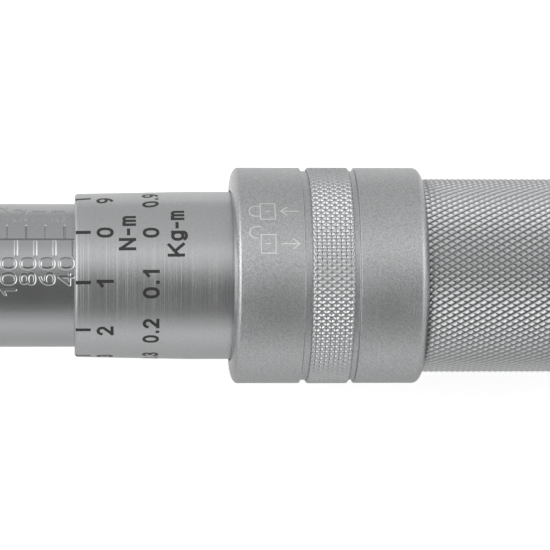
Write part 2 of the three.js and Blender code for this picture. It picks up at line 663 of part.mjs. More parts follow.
// Click mechanism: the block tips in its two shallow seats and pushes the plunger against the spring.
const block = new THREE.BoxGeometry(BLOCK_LENGTH, BLOCK_WIDTH, BLOCK_WIDTH);
piece("click_block", block, hardened, barrel).position.x = (blockStart + blockEnd) / 2;
const spigot = (face, direction) => [
  [face, spigotRadius],
  [face + direction * (SPIGOT_LENGTH - SPIGOT_CHAMFER), spigotRadius],
  [face + direction * SPIGOT_LENGTH, spigotRadius - SPIGOT_CHAMFER],
  [face + direction * SPIGOT_LENGTH, 0],
];
const grooveStart = plungerStart + PLUNGER_LENGTH / 2 - PLUNGER_GROOVE_WIDTH / 2;
const plungerBlank = turned(
  [
    [plungerStart, 0],
    [plungerStart, pistonRadius - PLUNGER_EDGE],
    [plungerStart + PLUNGER_EDGE, pistonRadius],
    [grooveStart, pistonRadius],
    [grooveStart, pistonRadius - PLUNGER_GROOVE],
    [grooveStart + PLUNGER_GROOVE_WIDTH, pistonRadius - PLUNGER_GROOVE],
    [grooveStart + PLUNGER_GROOVE_WIDTH, pistonRadius],
    [plungerFlangeEnd, pistonRadius],
    ...spigot(plungerFlangeEnd, 1),
  ],
  INNER_FACETS,
);
piece("plunger", cut(plungerBlank, [blockSeat(plungerStart)]), bareSteel, barrel);
const mainSpring = coil("main_spring", {
  from: plungerFlangeEnd + FIT,
  to: seatFlangeStart - FIT,
  radius: springRadius,
  wire: SPRING_WIRE,
  turns: SPRING_TURNS,
  steps: 8,
});
piece("main_spring", mainSpring, springSteel, barrel);
const ballCup = new THREE.SphereGeometry(THRUST_BALL_RADIUS + FIT, SMALL_FACETS, SMALL_FACETS / 2);
ballCup.translate(thrustBallX, 0, 0);
const seatBlank = turned(
  [
    ...spigot(seatFlangeStart, -1).reverse(),
    [seatFlangeStart, pistonRadius],
    [seatEnd, pistonRadius],
    [seatEnd, 0],
  ],
  INNER_FACETS,
);
piece("spring_seat", cut(seatBlank, [ballCup]), bareSteel, barrel);
const thrustBall = new THREE.SphereGeometry(THRUST_BALL_RADIUS, SMALL_FACETS, SMALL_FACETS / 2);
piece("thrust_ball", thrustBall, bareSteel, barrel).position.x = thrustBallX;

// Adjusting nut, pinned in the tube's end.
const nutStart = nutEnd - NUT_LENGTH;
const nutBore = ADJUSTER_RADIUS + FIT;
const nutBlank = turned(
  [
    [nutStart, nutBore],
    [nutStart, pistonRadius],
    [nutEnd, pistonRadius],
    [nutEnd, nutBore],
  ],
  INNER_FACETS,
);
const nutBody = cut(
  nutBlank,
  pinAngles.map((angle) => spoke(NUT_PIN_RADIUS + FIT, nutPinX, angle, nutBore / 2, 2 * TUBE_RADIUS)),
);
piece("adjusting_nut", nutBody, bareSteel, barrel);
pinAngles.forEach((angle, i) => {
  const pin = spoke(NUT_PIN_RADIUS, nutPinX, angle, nutBore + FIT, TUBE_RADIUS - FIT);
  piece("nut_pin_" + (i + 1), pin, hardened, barrel);
});

// Handle: the graduated sleeve and the grip are one turned piece, bored through.
const lockAngles = [];
for (let i = 0; i < LOCK_BALLS; i++) {
  lockAngles.push(Math.PI / 2 + (i * 2 * Math.PI) / LOCK_BALLS);
}
const thimbleEnd = lipX + THIMBLE_LENGTH;
const handleBlank = turned([
  [lipX, sleeveBore + LIP_CHAMFER],
  [lipX, lipRadius - LIP_CHAMFER],
  [lipX + LIP_CHAMFER, lipRadius],
  [lipX + THIMBLE_TAPER, thimbleRadius],
  [thimbleEnd, thimbleRadius],
  [thimbleEnd + thimbleRadius - coreRadius, coreRadius],
  [ringStart - FIT, coreRadius],
  [ringStart - FIT, coreRadius - STOP_RING_GROOVE],
  [ringStart + STOP_RING_WIDTH + FIT, coreRadius - STOP_RING_GROOVE],
  [ringStart + STOP_RING_WIDTH + FIT, coreRadius],
  [gripStart, coreRadius],
  [gripStart, gripRadius - LIP_CHAMFER],
  [gripStart + LIP_CHAMFER, gripRadius],
  [gripEnd - GRIP_CHAMFER, gripRadius],
  [gripEnd, gripRadius - GRIP_CHAMFER],
  [gripEnd, sleeveBore],
  [lipX + LIP_CHAMFER, sleeveBore],
]);
const handleBody = cut(
  handleBlank,
  lockAngles.map((angle) => spoke(LOCK_BALL_RADIUS + FIT, ballX, angle, sleeveBore / 2, gripRadius)),
);
piece("graduated_handle", handleBody, satin, handle);

// Screw that turns with the handle, ending in a stud for the cap's nut.
const studEnd = capEnd - FIT;
const studBore = STUD_RADIUS + FIT;
const adjusterBlank = turned(
  [
    [adjusterStart, 0],
    [adjusterStart, ADJUSTER_RADIUS - ADJUSTER_CHAMFER],
    [adjusterStart + ADJUSTER_CHAMFER, ADJUSTER_RADIUS],
    [spigotStart - FIT, ADJUSTER_RADIUS],
    [spigotStart - FIT, STUD_RADIUS],
    [studEnd - FIT, STUD_RADIUS],
    [studEnd, STUD_RADIUS - FIT],
    [studEnd, 0],
  ],
  INNER_FACETS,
);
piece("adjusting_screw", cut(adjusterBlank, [ballCup]), bareSteel, handle);
const capRecessRadius = CAP_NUT_RADIUS + CAP_NUT_ROOM;
const capBody = turned([
  [spigotStart, studBore],
  [spigotStart, sleeveBore - FIT],
  [capStart, sleeveBore - FIT],
  [capStart, capRadius],
  ...roundedEdge(capEnd, capRadius, -CAP_ROUND, CAP_ROUND).reverse(),
  [capEnd, capRecessRadius],
  [capRecessStart, capRecessRadius],
  [capRecessStart, studBore],
]);
piece("end_cap", capBody, chromed, handle);
const capNutX = capRecessStart + FIT + CAP_NUT_HEIGHT / 2;
const hexagon = new THREE.CylinderGeometry(CAP_NUT_RADIUS, CAP_NUT_RADIUS, CAP_NUT_HEIGHT, 6);
const capNutBore = new THREE.CylinderGeometry(studBore, studBore, 2 * CAP_NUT_HEIGHT, SMALL_FACETS);
const capNutBody = cut(hexagon, [capNutBore]).rotateZ(Math.PI / 2);
piece("cap_nut", capNutBody, hardened, handle).position.x = capNutX;

// Lock: balls in radial holes, the collar that presses them, its snap ring, washer and spring.
const lockBall = new THREE.SphereGeometry(LOCK_BALL_RADIUS, SMALL_FACETS, SMALL_FACETS / 2);
lockAngles.forEach((angle, i) => {
  const ball = piece("lock_ball_" + (i + 1), lockBall, bareSteel, handle);
  ball.position.set(ballX, ballCentreRadius * Math.cos(angle), ballCentreRadius * Math.sin(angle));
});
const ringEnd = ringStart + STOP_RING_WIDTH;
const ringInner = coreRadius - STOP_RING_GROOVE + FIT;
const ringOuter = landRadius + STOP_RING_CATCH;
const ringBlank = turned([
  [ringStart, ringInner],
  [ringStart, ringOuter],
  [ringEnd, ringOuter],
  [ringEnd, ringInner],
]);
const ringSlot = new THREE.BoxGeometry(4 * STOP_RING_WIDTH, STOP_RING_SLOT, ringOuter);
const ringBody = cut(ringBlank, [ringSlot.translate(ringStart, 0, -ringOuter)]);
piece("collar_stop_ring", ringBody, springSteel, handle);
const washerStart = landEnd + FIT;
const washerEnd = washerStart + WASHER_THICKNESS;
const washerBody = turned([
  [washerStart, coreRadius + FIT],
  [washerStart, chamberRadius - FIT],
  [washerEnd, chamberRadius - FIT],
  [washerEnd, coreRadius + FIT],
]);
piece("collar_washer", washerBody, bareSteel, handle);
const collarSpring = coil("collar_spring", {
  from: washerEnd + FIT,
  to: gripStart - FIT,
  radius: chamberRadius - COLLAR_WIRE / 2 - COLLAR_SPRING_ROOM,
  wire: COLLAR_WIRE,
  turns: COLLAR_SPRING_TURNS,
  steps: 24,
});
piece("collar_spring", collarSpring, springSteel, handle);
const grooveOne = collarStart + COLLAR_FRONT_BAND;
const knurlStart = grooveOne + COLLAR_GROOVE_WIDTH;
const grooveTwo = knurlStart + COLLAR_KNURL_WIDTH;
const grooveFloor = collarRadius - COLLAR_GROOVE_DEPTH;
const groove = (x) => [
  [x, collarRadius],
  [x, grooveFloor],
  [x + COLLAR_GROOVE_WIDTH, grooveFloor],
  [x + COLLAR_GROOVE_WIDTH, collarRadius],
];
const rearDrop = collarRadius - chamberRadius - COLLAR_RIM;
const recessRadius = collarRadius - COLLAR_RECESS_WALL;
const collarBody = turned([
  [collarStart, thimbleRadius + FIT],
  ...roundedEdge(collarStart, collarRadius, COLLAR_FRONT_ROUND, COLLAR_FRONT_FALL),
  ...groove(grooveOne),
  ...groove(grooveTwo),
  ...roundedEdge(collarEnd, collarRadius, -COLLAR_REAR_ROUND, COLLAR_REAR_FALL, rearDrop).reverse(),
  [collarEnd, chamberRadius],
  [landEnd, chamberRadius],
  [landEnd, landRadius],
  [landStart, landRadius],
  [landStart, recessRadius],
  [collarStart + COLLAR_FRONT_WALL, recessRadius],
  [collarStart + COLLAR_FRONT_WALL, thimbleRadius + FIT],
]);
piece("lock_collar", collarBody, satin, handle);

export default wrench;
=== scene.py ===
import math

import bmesh
import bpy
import numpy as np
from mathutils import Matrix


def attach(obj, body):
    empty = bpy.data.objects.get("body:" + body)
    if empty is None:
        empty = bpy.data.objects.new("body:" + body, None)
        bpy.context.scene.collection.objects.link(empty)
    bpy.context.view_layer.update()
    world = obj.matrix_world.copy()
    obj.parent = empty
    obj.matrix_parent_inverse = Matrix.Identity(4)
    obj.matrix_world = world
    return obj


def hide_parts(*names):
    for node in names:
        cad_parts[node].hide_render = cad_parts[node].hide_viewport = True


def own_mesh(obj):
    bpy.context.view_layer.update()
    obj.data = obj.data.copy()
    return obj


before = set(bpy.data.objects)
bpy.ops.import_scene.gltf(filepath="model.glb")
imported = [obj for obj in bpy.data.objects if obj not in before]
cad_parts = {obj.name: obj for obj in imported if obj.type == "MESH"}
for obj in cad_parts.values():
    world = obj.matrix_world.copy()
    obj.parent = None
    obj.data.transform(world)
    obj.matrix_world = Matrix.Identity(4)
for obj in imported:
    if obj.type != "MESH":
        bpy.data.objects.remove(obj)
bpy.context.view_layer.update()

# Lengths are in millimetres. The wrench's axis lies along X at AXIS_HEIGHT, and `down` angles are counted
# from straight up towards the side that the photograph looks at (-Y).


# Scale tube
# A cold drawn steel tube, turned, stamped with the scale by rolling the numbers in, and chromed afterwards.
# The stamps push up a low rim, and the chrome is smooth, so rims and groove walls catch the light.
MM = 0.001
AXIS_HEIGHT = 27.5
TUBE_RADIUS = 11.4
TUBE_BORE = 9.5
TUBE_START = 60.0
TUBE_END = 372.0
TUBE_EDGE = 0.4
LIP_X = 291.0
MARK_STEP = 3.0  # between the marks of the main scale
MAIN_VALUES = [str(v) for v in range(40, 201, 20)]
SECOND_VALUES = ["5.1", "7.1", "9.2", "11.2", "13.3", "15.3", "17.3", "19.4"]
FIRST_MARK = 0.15  # from the sleeve's lip to the first mark of the main scale
SECOND_OFFSET = 1.6  # the same to the first mark of the second scale
INDEX_SPAN = (262.0, 302.0)
INDEX_AROUND = 0.15  # from the tube's top to the index line, round it
MARK_START = 0.45  # from the tube's top to the marks' start and end, round it
MARK_LENGTH = 2.8
SECOND_MARK_START = 0.2
SECOND_MARK_LENGTH = 2.55
MAIN_DIGITS_START = 3.3  # from the tube's top to the digits, round it
SECOND_DIGITS_START = 3.2
MAIN_DIGITS = (2.5, 0.3, 0.5)  # height, stroke and gap
SECOND_DIGITS = (2.2, 0.25, 0.35)
DIGITS_SHIFT = 0.1  # the digits' feet lie this far past their mark
STAMP_RIM = 0.06  # height of the pushed up rim in half widths of the line
INDEX_LINE = (0.13, 0.13)  # half width and depth of each kind of stamped line
MARK_LINE = (0.27, 0.075)
SECOND_MARK_LINE = (0.13, 0.2)
DIGIT_LINE = (0.19, 0.06)
SECOND_DIGIT_LINE = (0.14, 0.08)
PIVOT_X = 72.0
PIVOT_PIN_RADIUS = 3.0
PIN_GAP = (0.15, 0.2, 0.3)  # reach past the pin, width and depth of the fine ring round its ends


def linear(code):
    """Linear colour of an sRGB hex code: c / 12.92 up to 0.04045, above it ((c + 0.055) / 1.055) ^ 2.4."""
    c = np.array([int(code[i : i + 2], 16) for i in (1, 3, 5)]) / 255
    c = np.where(c <= 0.04045, c / 12.92, ((c + 0.055) / 1.055) ** 2.4)
    return (*c.tolist(), 1.0)


def add(tree, kind, settings, links=()):
    """Adds a node. Settings are its properties or input values, links (input, other node, its output)."""
    node = tree.nodes.new(kind)
    for key, value in settings.items():
        if isinstance(key, str) and hasattr(node, key):
            setattr(node, key, value)
        else:
            node.inputs[key].default_value = value
    for socket, source, output in links:
        tree.links.new(source.outputs[output], node.inputs[socket])
    return node


def new_metal(name, colour, roughness, metallic=1.0):
    """An empty metal: its material, node tree, and the shader that the finish's nodes are linked to."""
    material = bpy.data.materials.new(name)
    material.use_nodes = True
    tree = material.node_tree
    tree.nodes.clear()
    settings = {"Base Color": linear(colour), "Metallic": metallic, "Roughness": roughness}
    shader = add(tree, "ShaderNodeBsdfPrincipled", settings)
    add(tree, "ShaderNodeOutputMaterial", {}, [("Surface", shader, "BSDF")])
    return material, tree, shader


def drawn_chrome(name, colour, roughness, grain, lines=(0.4, 0.0), speckle=0.05, rims=None, groove_shade_and_dirt=None):
    """Chrome or bare steel, worked: a grain of tiny pits, and lines left round it by turning, both as bump,
    each given as (size, depth) in millimetres. The pits lighten and darken the colour by the share speckle.
    Roughness wanders where hands have polished it, and falls to a third past rims, a (middle, reach) along
    the wrench. At the floor of the piece's grooves, where its attribute groove_depth is 1, the colour is
    darkened to the last argument's share of itself: painted shade for the little light there, with some
    dirt.
    The real pits and lines are finer, and are drawn as coarse as they need to be to show."""
    (grain_mm, grain_depth_mm), (lines_mm, lines_depth_mm) = grain, lines
    patches_mm = 9.0  # size of the patches that hands have polished
    material, tree, shader = new_metal(name, colour, roughness)
    place = add(tree, "ShaderNodeTexCoord", {})
    # Turned by odd angles, the grain's cells lie flush with the surface nowhere, and so draw no rings.
    skew = add(tree, "ShaderNodeMapping", {"Rotation": (0.54, 0.31, 0.77)}, [("Vector", place, "Object")])
    pitting = add(
        tree,
        "ShaderNodeTexNoise",
        {"Scale": 1 / (grain_mm * MM), "Detail": 2.0, "Roughness": 0.6},
        [("Vector", skew, "Vector")],
    )
    spread = {"From Min": 0.35, "From Max": 0.65}
    shares = add(tree, "ShaderNodeMapRange", spread, [("Value", pitting, "Fac")])
    plain = np.array(linear(colour)[:3])
    dark, light = [(*np.clip(plain * k, 0, 1).tolist(), 1.0) for k in (1 - speckle, 1 + speckle)]
    two_greys = {"data_type": "RGBA", 6: dark, 7: light}
    pits = add(tree, "ShaderNodeMix", two_greys, [("Factor", shares, "Result")])
    # Painted shade: the colour darkens towards the grooves' floor for the shadow there, along with some
    # dirt.
    if groove_shade_and_dirt:
        depth = add(tree, "ShaderNodeAttribute", {"attribute_name": "groove_depth"})
        left = add(tree, "ShaderNodeMapRange", {"To Min": 1.0, "To Max": groove_shade_and_dirt}, [("Value", depth, "Fac")])
        groove_shading = {"data_type": "RGBA", "blend_type": "MULTIPLY", "Factor": 1.0}
        pits = add(tree, "ShaderNodeMix", groove_shading, [(6, pits, 2), (7, left, "Result")])
    tree.links.new(pits.outputs[2], shader.inputs["Base Color"])
    axes = add(tree, "ShaderNodeSeparateXYZ", {}, [("Vector", place, "Object")])
    turning = add(
        tree,
        "ShaderNodeTexNoise",
        {"noise_dimensions": "1D", "Scale": 1 / (lines_mm * MM), "Detail": 1.0, "Roughness": 0.5},
        [("W", axes, "X")],
    )
    broad = {"Scale": 1 / (patches_mm * MM), "Detail": 3.0}
    patches = add(tree, "ShaderNodeTexNoise", broad, [("Vector", place, "Object")])
    wear = add(
        tree,
        "ShaderNodeMapRange",
        {"From Min": 0.3, "From Max": 0.7, "To Min": roughness - 0.03, "To Max": roughness + 0.04},
        [("Value", patches, "Fac")],
    )
    if rims:
        less_middle = {"operation": "SUBTRACT", 1: rims[0] * MM}
        from_middle = add(tree, "ShaderNodeMath", less_middle, [(0, axes, "X")])
        reach = add(tree, "ShaderNodeMath", {"operation": "ABSOLUTE"}, [(0, from_middle, "Value")])
        worn = {"From Min": rims[1] * MM, "From Max": (rims[1] + 0.8) * MM, "To Min": 1.0, "To Max": 0.33}
        left_matt = add(tree, "ShaderNodeMapRange", worn, [("Value", reach, "Value")])
        times = {"operation": "MULTIPLY"}
        wear = add(tree, "ShaderNodeMath", times, [(0, wear, "Result"), (1, left_matt, "Result")])
    tree.links.new(wear.outputs[0], shader.inputs["Roughness"])
    pitted = {"Strength": 1.0, "Distance": grain_depth_mm * MM}
    first = add(tree, "ShaderNodeBump", pitted, [("Height", pitting, "Fac")])
    lined = {"Strength": 1.0, "Distance": lines_depth_mm * MM}
    second = add(tree, "ShaderNodeBump", lined, [("Height", turning, "Fac"), ("Normal", first, "Normal")])
    tree.links.new(second.outputs["Normal"], shader.inputs["Normal"])
    return material


def new_object(name, data):
    """An object in the scene, at the origin."""
    piece = bpy.data.objects.new(name, data)
    bpy.context.scene.collection.objects.link(piece)
    return piece


def grid_object(name, points, wrap_rows=True, sharp=35):
    """A mesh object from a grid of points in millimetres, [rows, columns, 3], with one quad in each cell.
    Its columns close in a ring, and so do its rows, unless wrap_rows is false."""
    rows, columns = points.shape[:2]
    i = np.arange(rows if wrap_rows else rows - 1)[:, None]
    j = np.arange(columns)[None, :]
    below, beside = (i + 1) % rows, (j + 1) % columns
    corners = [i * columns + j, below * columns + j, below * columns + beside, i * columns + beside]
    quads = np.stack(np.broadcast_arrays(*corners), -1).reshape(-1, 4)
    flat = points.reshape(-1, 3) * MM
    return faces_object(name, flat, quads, sharp)


def faces_object(name, flat, faces, sharp=35):
    """A mesh object from points in metres and faces that all have the same number of corners. The sum of
    a . (b x c) over its triangles, six times the volume, tells which way they point, and they are turned if
    it is below zero."""
    centred = flat - flat.mean(0)
    volume = 0.0
    for k in range(1, faces.shape[1] - 1):
        a, b, c = centred[faces[:, 0]], centred[faces[:, k]], centred[faces[:, k + 1]]
        volume += np.einsum("ij,ij->", a, np.cross(b, c))
    if volume < 0:
        faces = faces[:, ::-1]
    count, sides = faces.shape
    mesh = bpy.data.meshes.new(name)
    mesh.vertices.add(len(flat))
    mesh.vertices.foreach_set("co", flat.ravel())
    mesh.loops.add(count * sides)
    mesh.loops.foreach_set("vertex_index", faces.ravel().astype(np.int32))
    mesh.polygons.add(count)
    mesh.polygons.foreach_set("loop_start", np.arange(count, dtype=np.int32) * sides)
    mesh.polygons.foreach_set("use_smooth", np.ones(count, bool))
    mesh.update(calc_edges=True)
    mesh.validate()
    mesh.set_sharp_from_angle(angle=math.radians(sharp))
    return new_object(name, mesh)


def fit(piece, material, body, node):
    """Gives a piece its material, its body and the node that it stands for."""
    piece.data.materials.clear()
    piece.data.materials.append(material)
    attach(piece, body)
    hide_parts(node)


def arc(cx, cy, rx, ry, start, end, steps=10):
    """Points (cx + rx cos a, cy + ry sin a), with a from start to end in degrees."""
    a = np.radians(np.linspace(start, end, steps + 1))
    return np.stack([cx + rx * np.cos(a), cy + ry * np.sin(a)], 1)


def oval(cx, cy, rx, ry, steps=20, square=0.86):
    """A closed oval with flattened sides: cos and sin are raised to a power below 1, keeping their signs."""
    a = np.radians(np.linspace(90, 450, steps + 1))
    c, s = np.cos(a), np.sin(a)
    x = cx + rx * np.sign(c) * np.abs(c) ** square
    return np.stack([x, cy + ry * np.sign(s) * np.abs(s) ** square], 1)


SIX = [oval(0.28, 0.31, 0.28, 0.31), arc(0.5, 0.42, 0.5, 0.58, 185, 100)]
STROKES = {  # centre lines in a box one high, with the letter's width
    "0": (0.56, [oval(0.28, 0.5, 0.28, 0.5)]),
    "1": (0.34, [[(0.02, 0.72), (0.3, 0.96)], [(0.3, 1.0), (0.3, 0.0)]]),
    "2": (
        0.56,
        [np.vstack([arc(0.28, 0.71, 0.27, 0.29, 165, -38), [(0.02, 0.0)]]), [(0.0, 0.0), (0.56, 0.0)]],
    ),
    "3": (0.56, [arc(0.27, 0.75, 0.24, 0.25, 155, -90), arc(0.27, 0.26, 0.28, 0.26, 90, -160)]),
    "4": (0.6, [[(0.42, 0.0), (0.42, 1.0), (0.0, 0.27), (0.6, 0.27)]]),
    "5": (
        0.56,
        [np.vstack([[(0.52, 1.0), (0.1, 1.0), (0.05, 0.5)], arc(0.27, 0.32, 0.28, 0.32, 125, -155)])],
    ),
    "6": (0.56, SIX),
    "7": (0.54, [[(0.0, 1.0), (0.54, 1.0), (0.2, 0.0)]]),
    "8": (0.56, [oval(0.28, 0.75, 0.24, 0.25), oval(0.28, 0.25, 0.28, 0.25)]),
    "9": (0.56, [[0.56, 1.0] - np.asarray(stroke) for stroke in SIX]),
    ".": (0.06, [[(0.03, 0.0), (0.03, 0.03)]]),
    "-": (0.36, [[(0.03, 0.42), (0.33, 0.42)]]),
    "N": (0.64, [[(0.0, 0.0), (0.0, 1.0)], [(0.02, 0.96), (0.62, 0.04)], [(0.64, 0.0), (0.64, 1.0)]]),
    "K": (0.72, [[(0.0, 0.0), (0.0, 1.0)], [(0.68, 1.0), (0.0, 0.34)], [(0.26, 0.6), (0.72, 0.0)]]),
    "m": (
        0.64,
        [
            [(0.0, 0.0), (0.0, 0.74)],
            np.vstack([arc(0.16, 0.56, 0.16, 0.18, 180, 0), [(0.32, 0.0)]]),
            np.vstack([arc(0.48, 0.56, 0.16, 0.18, 180, 0), [(0.64, 0.0)]]),
        ],
    ),
    "g": (
        0.54,
        [oval(0.26, 0.38, 0.26, 0.36), np.vstack([[(0.53, 0.74)], arc(0.27, -0.03, 0.26, 0.2, 0, -150)])],
    ),
}


def lettering(text, height, stroke, gap, wide=1.0):
    """Centre lines of a word in millimetres and its full width, with its lower left corner at (0, 0).
    A letter's box is scaled by height less one stroke, so that the strokes' outsides are height apart."""
    size = np.array([(height - stroke) * wide, height - stroke])
    lines, pen = [], 0.0
    for letter in text:
        width, strokes = STROKES[letter]
        corner = np.array([pen + stroke / 2, stroke / 2])
        lines += [np.asarray(line, float) * size + corner for line in strokes]
        pen += width * size[0] + stroke + gap
    return lines, pen - gap


def stamped_height(x, around, lines):
    """Height of the surface near stamped lines, each with half width w and depth d. With t = distance / w to
    the line that is nearest in its own widths, it is STAMP_RIM w g - d (1 - s), where s is a smooth step
    over the wall from t = 0.4 to 1.3, and g a bell just outside it."""
    nearest = np.full(x.shape, 9.0)
    half_width, depth = np.zeros(x.shape), np.zeros(x.shape)
    for line, w, d in lines:
        for (x0, a0), (x1, a1) in zip(line[:-1], line[1:]):
            near = (x > min(x0, x1) - 1) & (x < max(x0, x1) + 1)
            near &= (around > min(a0, a1) - 1) & (around < max(a0, a1) + 1)
            px, pa = x[near] - x0, around[near] - a0
            dx, da = x1 - x0, a1 - a0
            share = np.clip((px * dx + pa * da) / max(dx * dx + da * da, 1e-9), 0, 1)
            t = np.hypot(px - share * dx, pa - share * da) / w
            closer = t < nearest[near]
            nearest[near] = np.where(closer, t, nearest[near])
            half_width[near] = np.where(closer, w, half_width[near])
            depth[near] = np.where(closer, d, depth[near])
    step = np.clip((nearest - 0.4) / 0.9, 0, 1)
    step = step * step * (3 - 2 * step)
    rim = np.exp(-(((nearest - 1.5) / 0.4) ** 2))
    return STAMP_RIM * half_width * rim - depth * (1 - step)


# Stamped lines as (x, around), with around counted round the tube from its top, down being positive.
stamps = [(np.array([(x, INDEX_AROUND) for x in INDEX_SPAN]), *INDEX_LINE)]
for i, value in enumerate(MAIN_VALUES):
    mark = LIP_X - FIRST_MARK - i * MARK_STEP
    stamps.append((np.array([(mark, MARK_START), (mark, MARK_LENGTH)]), *MARK_LINE))
    lines, width = lettering(value, *MAIN_DIGITS, wide=1.3)
    for line in lines:
        placed = np.stack([mark + DIGITS_SHIFT - line[:, 1], MAIN_DIGITS_START + width - line[:, 0]], 1)
        stamps.append((placed, *DIGIT_LINE))
for i, value in enumerate(SECOND_VALUES):
    mark = LIP_X - SECOND_OFFSET - i * MARK_STEP
    stamps.append((np.array([(mark, -SECOND_MARK_START), (mark, -SECOND_MARK_LENGTH)]), *SECOND_MARK_LINE))
    for line in lettering(value, *SECOND_DIGITS)[0]:
        placed = np.stack([mark + DIGITS_SHIFT - line[:, 1], -SECOND_DIGITS_START - line[:, 0]], 1)
        stamps.append((placed, *SECOND_DIGIT_LINE))

# The rings of points lie close together where the scales are stamped, and round the pivot pin.
outer_x = np.concatenate(
    [
        np.linspace(TUBE_START + TUBE_EDGE, PIVOT_X - 4, 4, endpoint=False),
        np.linspace(PIVOT_X - 4, PIVOT_X + 4, 36, endpoint=False),
        np.linspace(PIVOT_X + 4, 263.5, 16, endpoint=False),
        np.linspace(263.5, 279, 84, endpoint=False),
        np.linspace(279, 291.4, 176, endpoint=False),
        np.linspace(291.4, TUBE_END - TUBE_EDGE, 9),
    ]
)
scale_half_turn = np.radians(54)
spokes = np.concatenate(
    [
        np.linspace(-scale_half_turn, scale_half_turn, 232, endpoint=False),
        np.linspace(scale_half_turn, 2 * math.pi - scale_half_turn, 44, endpoint=False),
    ]
)
bore = [(TUBE_END, TUBE_RADIUS - TUBE_EDGE), (TUBE_END, TUBE_BORE), (TUBE_START, TUBE_BORE)]
bore.append((TUBE_START, TUBE_RADIUS - TUBE_EDGE))
tube_x = np.concatenate([outer_x, [p[0] for p in bore]])
tube_r = np.concatenate([np.full(len(outer_x), TUBE_RADIUS), [p[1] for p in bore]])
grid_x, grid_down = np.meshgrid(tube_x, spokes, indexing="ij")
grid_r = np.repeat(tube_r[:, None], len(spokes), 1)
outer = slice(0, len(outer_x))
grid_r[outer] += stamped_height(grid_x[outer], grid_down[outer] * TUBE_RADIUS, stamps)
# The pin's flush ends show as a fine ring on the top and the underside.
for side in (0.0, math.pi):
    turn = (grid_down[outer] - side + math.pi) % (2 * math.pi) - math.pi
    from_pin = np.hypot(grid_x[outer] - PIVOT_X, turn * TUBE_RADIUS) - PIVOT_PIN_RADIUS - PIN_GAP[0]
    grid_r[outer] -= PIN_GAP[2] * np.exp(-((from_pin / PIN_GAP[1]) ** 2))


def on_wrench(x, radius, down):
    """Points at x, at that radius from the axis, at an angle down from straight up towards -Y."""
    return np.stack([x, -radius * np.sin(down), AXIS_HEIGHT + radius * np.cos(down)], -1)


# Chrome on a smooth drawn tube mirrors the tent in clear, slightly soft bands.
tube_chrome = drawn_chrome("satin_chrome_on_drawn_tube", "#b6b7b8", 0.24, (0.16, 0.004), (0.3, 0.002))
scale_tube = grid_object("scale_tube", on_wrench(grid_x, grid_r, grid_down), sharp=50)
fit(scale_tube, tube_chrome, "tube", "tube")


# Graduated sleeve
# The front of the handle, turned from bar with a fine feed, so it keeps lines round it, and satin chromed.
# Its lip is chamfered. Under the lock collar it is stepped down for the snap ring, the balls and the spring.
SLEEVE_BORE = 11.6
LIP_RADIUS = 13.02
THIMBLE_RADIUS = 13.37
THIMBLE_TAPER = 18.0
THIMBLE_END = LIP_X + 26.0
CORE_RADIUS = 13.0
RING_GROOVE = (323.6, 325.5, 12.5)
LIP_CHAMFER = 0.35
BORE_CHAMFER = 0.3
GRIP_START = 345.5
GRIP_END = 471.5
GRIP_RADIUS = 15.5
GRIP_FLOOR = 15.18
GRIP_DOME = 0.13  # the diamonds' corners lie this far below their middle
UNDER_KNURL = 0.2  # the sleeve under the knurl lies this far below the grooves


def rounded(corners, steps=8):
    """Closed outline whose corners (x, y, a, b) are rounded off from a before the corner to b after it.
    With u and w the unit ways to the corners before and after, the points of the quarter ellipse are
    corner + u a (1 - sin t) + w b (1 - cos t). One size alone stands for both."""
    outline = []
    t = np.linspace(0, math.pi / 2, steps + 1)[:, None]
    for k, (x, y, *sizes) in enumerate(corners):
        here = np.array([x, y], float)
        if not sizes:
            outline.append(here)
            continue
        ways = [np.array(corners[m % len(corners)][:2]) - here for m in (k - 1, k + 1)]
        u, w = [way / np.linalg.norm(way) for way in ways]
        outline += list(here + u * sizes[0] * (1 - np.sin(t)) + w * sizes[-1] * (1 - np.cos(t)))
    return np.array(outline)


def turned(name, corners, spokes=192):
    """A turned piece: the closed outline of (x, radius) corners, rounded, is carried once round the axis."""
    outline = rounded(corners)
    x, down = np.meshgrid(outline[:, 0], np.linspace(0, 2 * math.pi, spokes, endpoint=False), indexing="ij")
    return grid_object(name, on_wrench(x, np.repeat(outline[:, 1:], spokes, 1), down))


def thimble_surface(x):
    """Radius of the graduated surface: a straight taper from the lip up to its full size."""
    return np.interp(x, [LIP_X + 0.3, LIP_X + THIMBLE_TAPER], [LIP_RADIUS, THIMBLE_RADIUS])


# The fine feed's lines streak the light round the sleeve, and draw its bands out softly.
sleeve_chrome = drawn_chrome("satin_chrome_with_turning_lines", "#bfc0c1", 0.3, (0.3, 0.004), (0.2, 0.03))
sleeve = turned(
    "graduated_sleeve",
    [
        (LIP_X, SLEEVE_BORE + BORE_CHAMFER),
        (LIP_X, LIP_RADIUS - LIP_CHAMFER, 0.08),
        (LIP_X + LIP_CHAMFER, LIP_RADIUS, 0.12),
        (LIP_X + THIMBLE_TAPER, THIMBLE_RADIUS),
        (THIMBLE_END, THIMBLE_RADIUS, 0.1),
        (THIMBLE_END + 0.4, CORE_RADIUS),
        (RING_GROOVE[0], CORE_RADIUS),
        (RING_GROOVE[0], RING_GROOVE[2]),
        (RING_GROOVE[1], RING_GROOVE[2]),
        (RING_GROOVE[1], CORE_RADIUS),
        (GRIP_START, CORE_RADIUS),
        (GRIP_START, GRIP_FLOOR - UNDER_KNURL),
        (GRIP_END, GRIP_FLOOR - UNDER_KNURL),
        (GRIP_END, SLEEVE_BORE),
        (LIP_X + BORE_CHAMFER, SLEEVE_BORE),
    ],
)
fit(sleeve, sleeve_chrome, "handle", "graduated_handle")


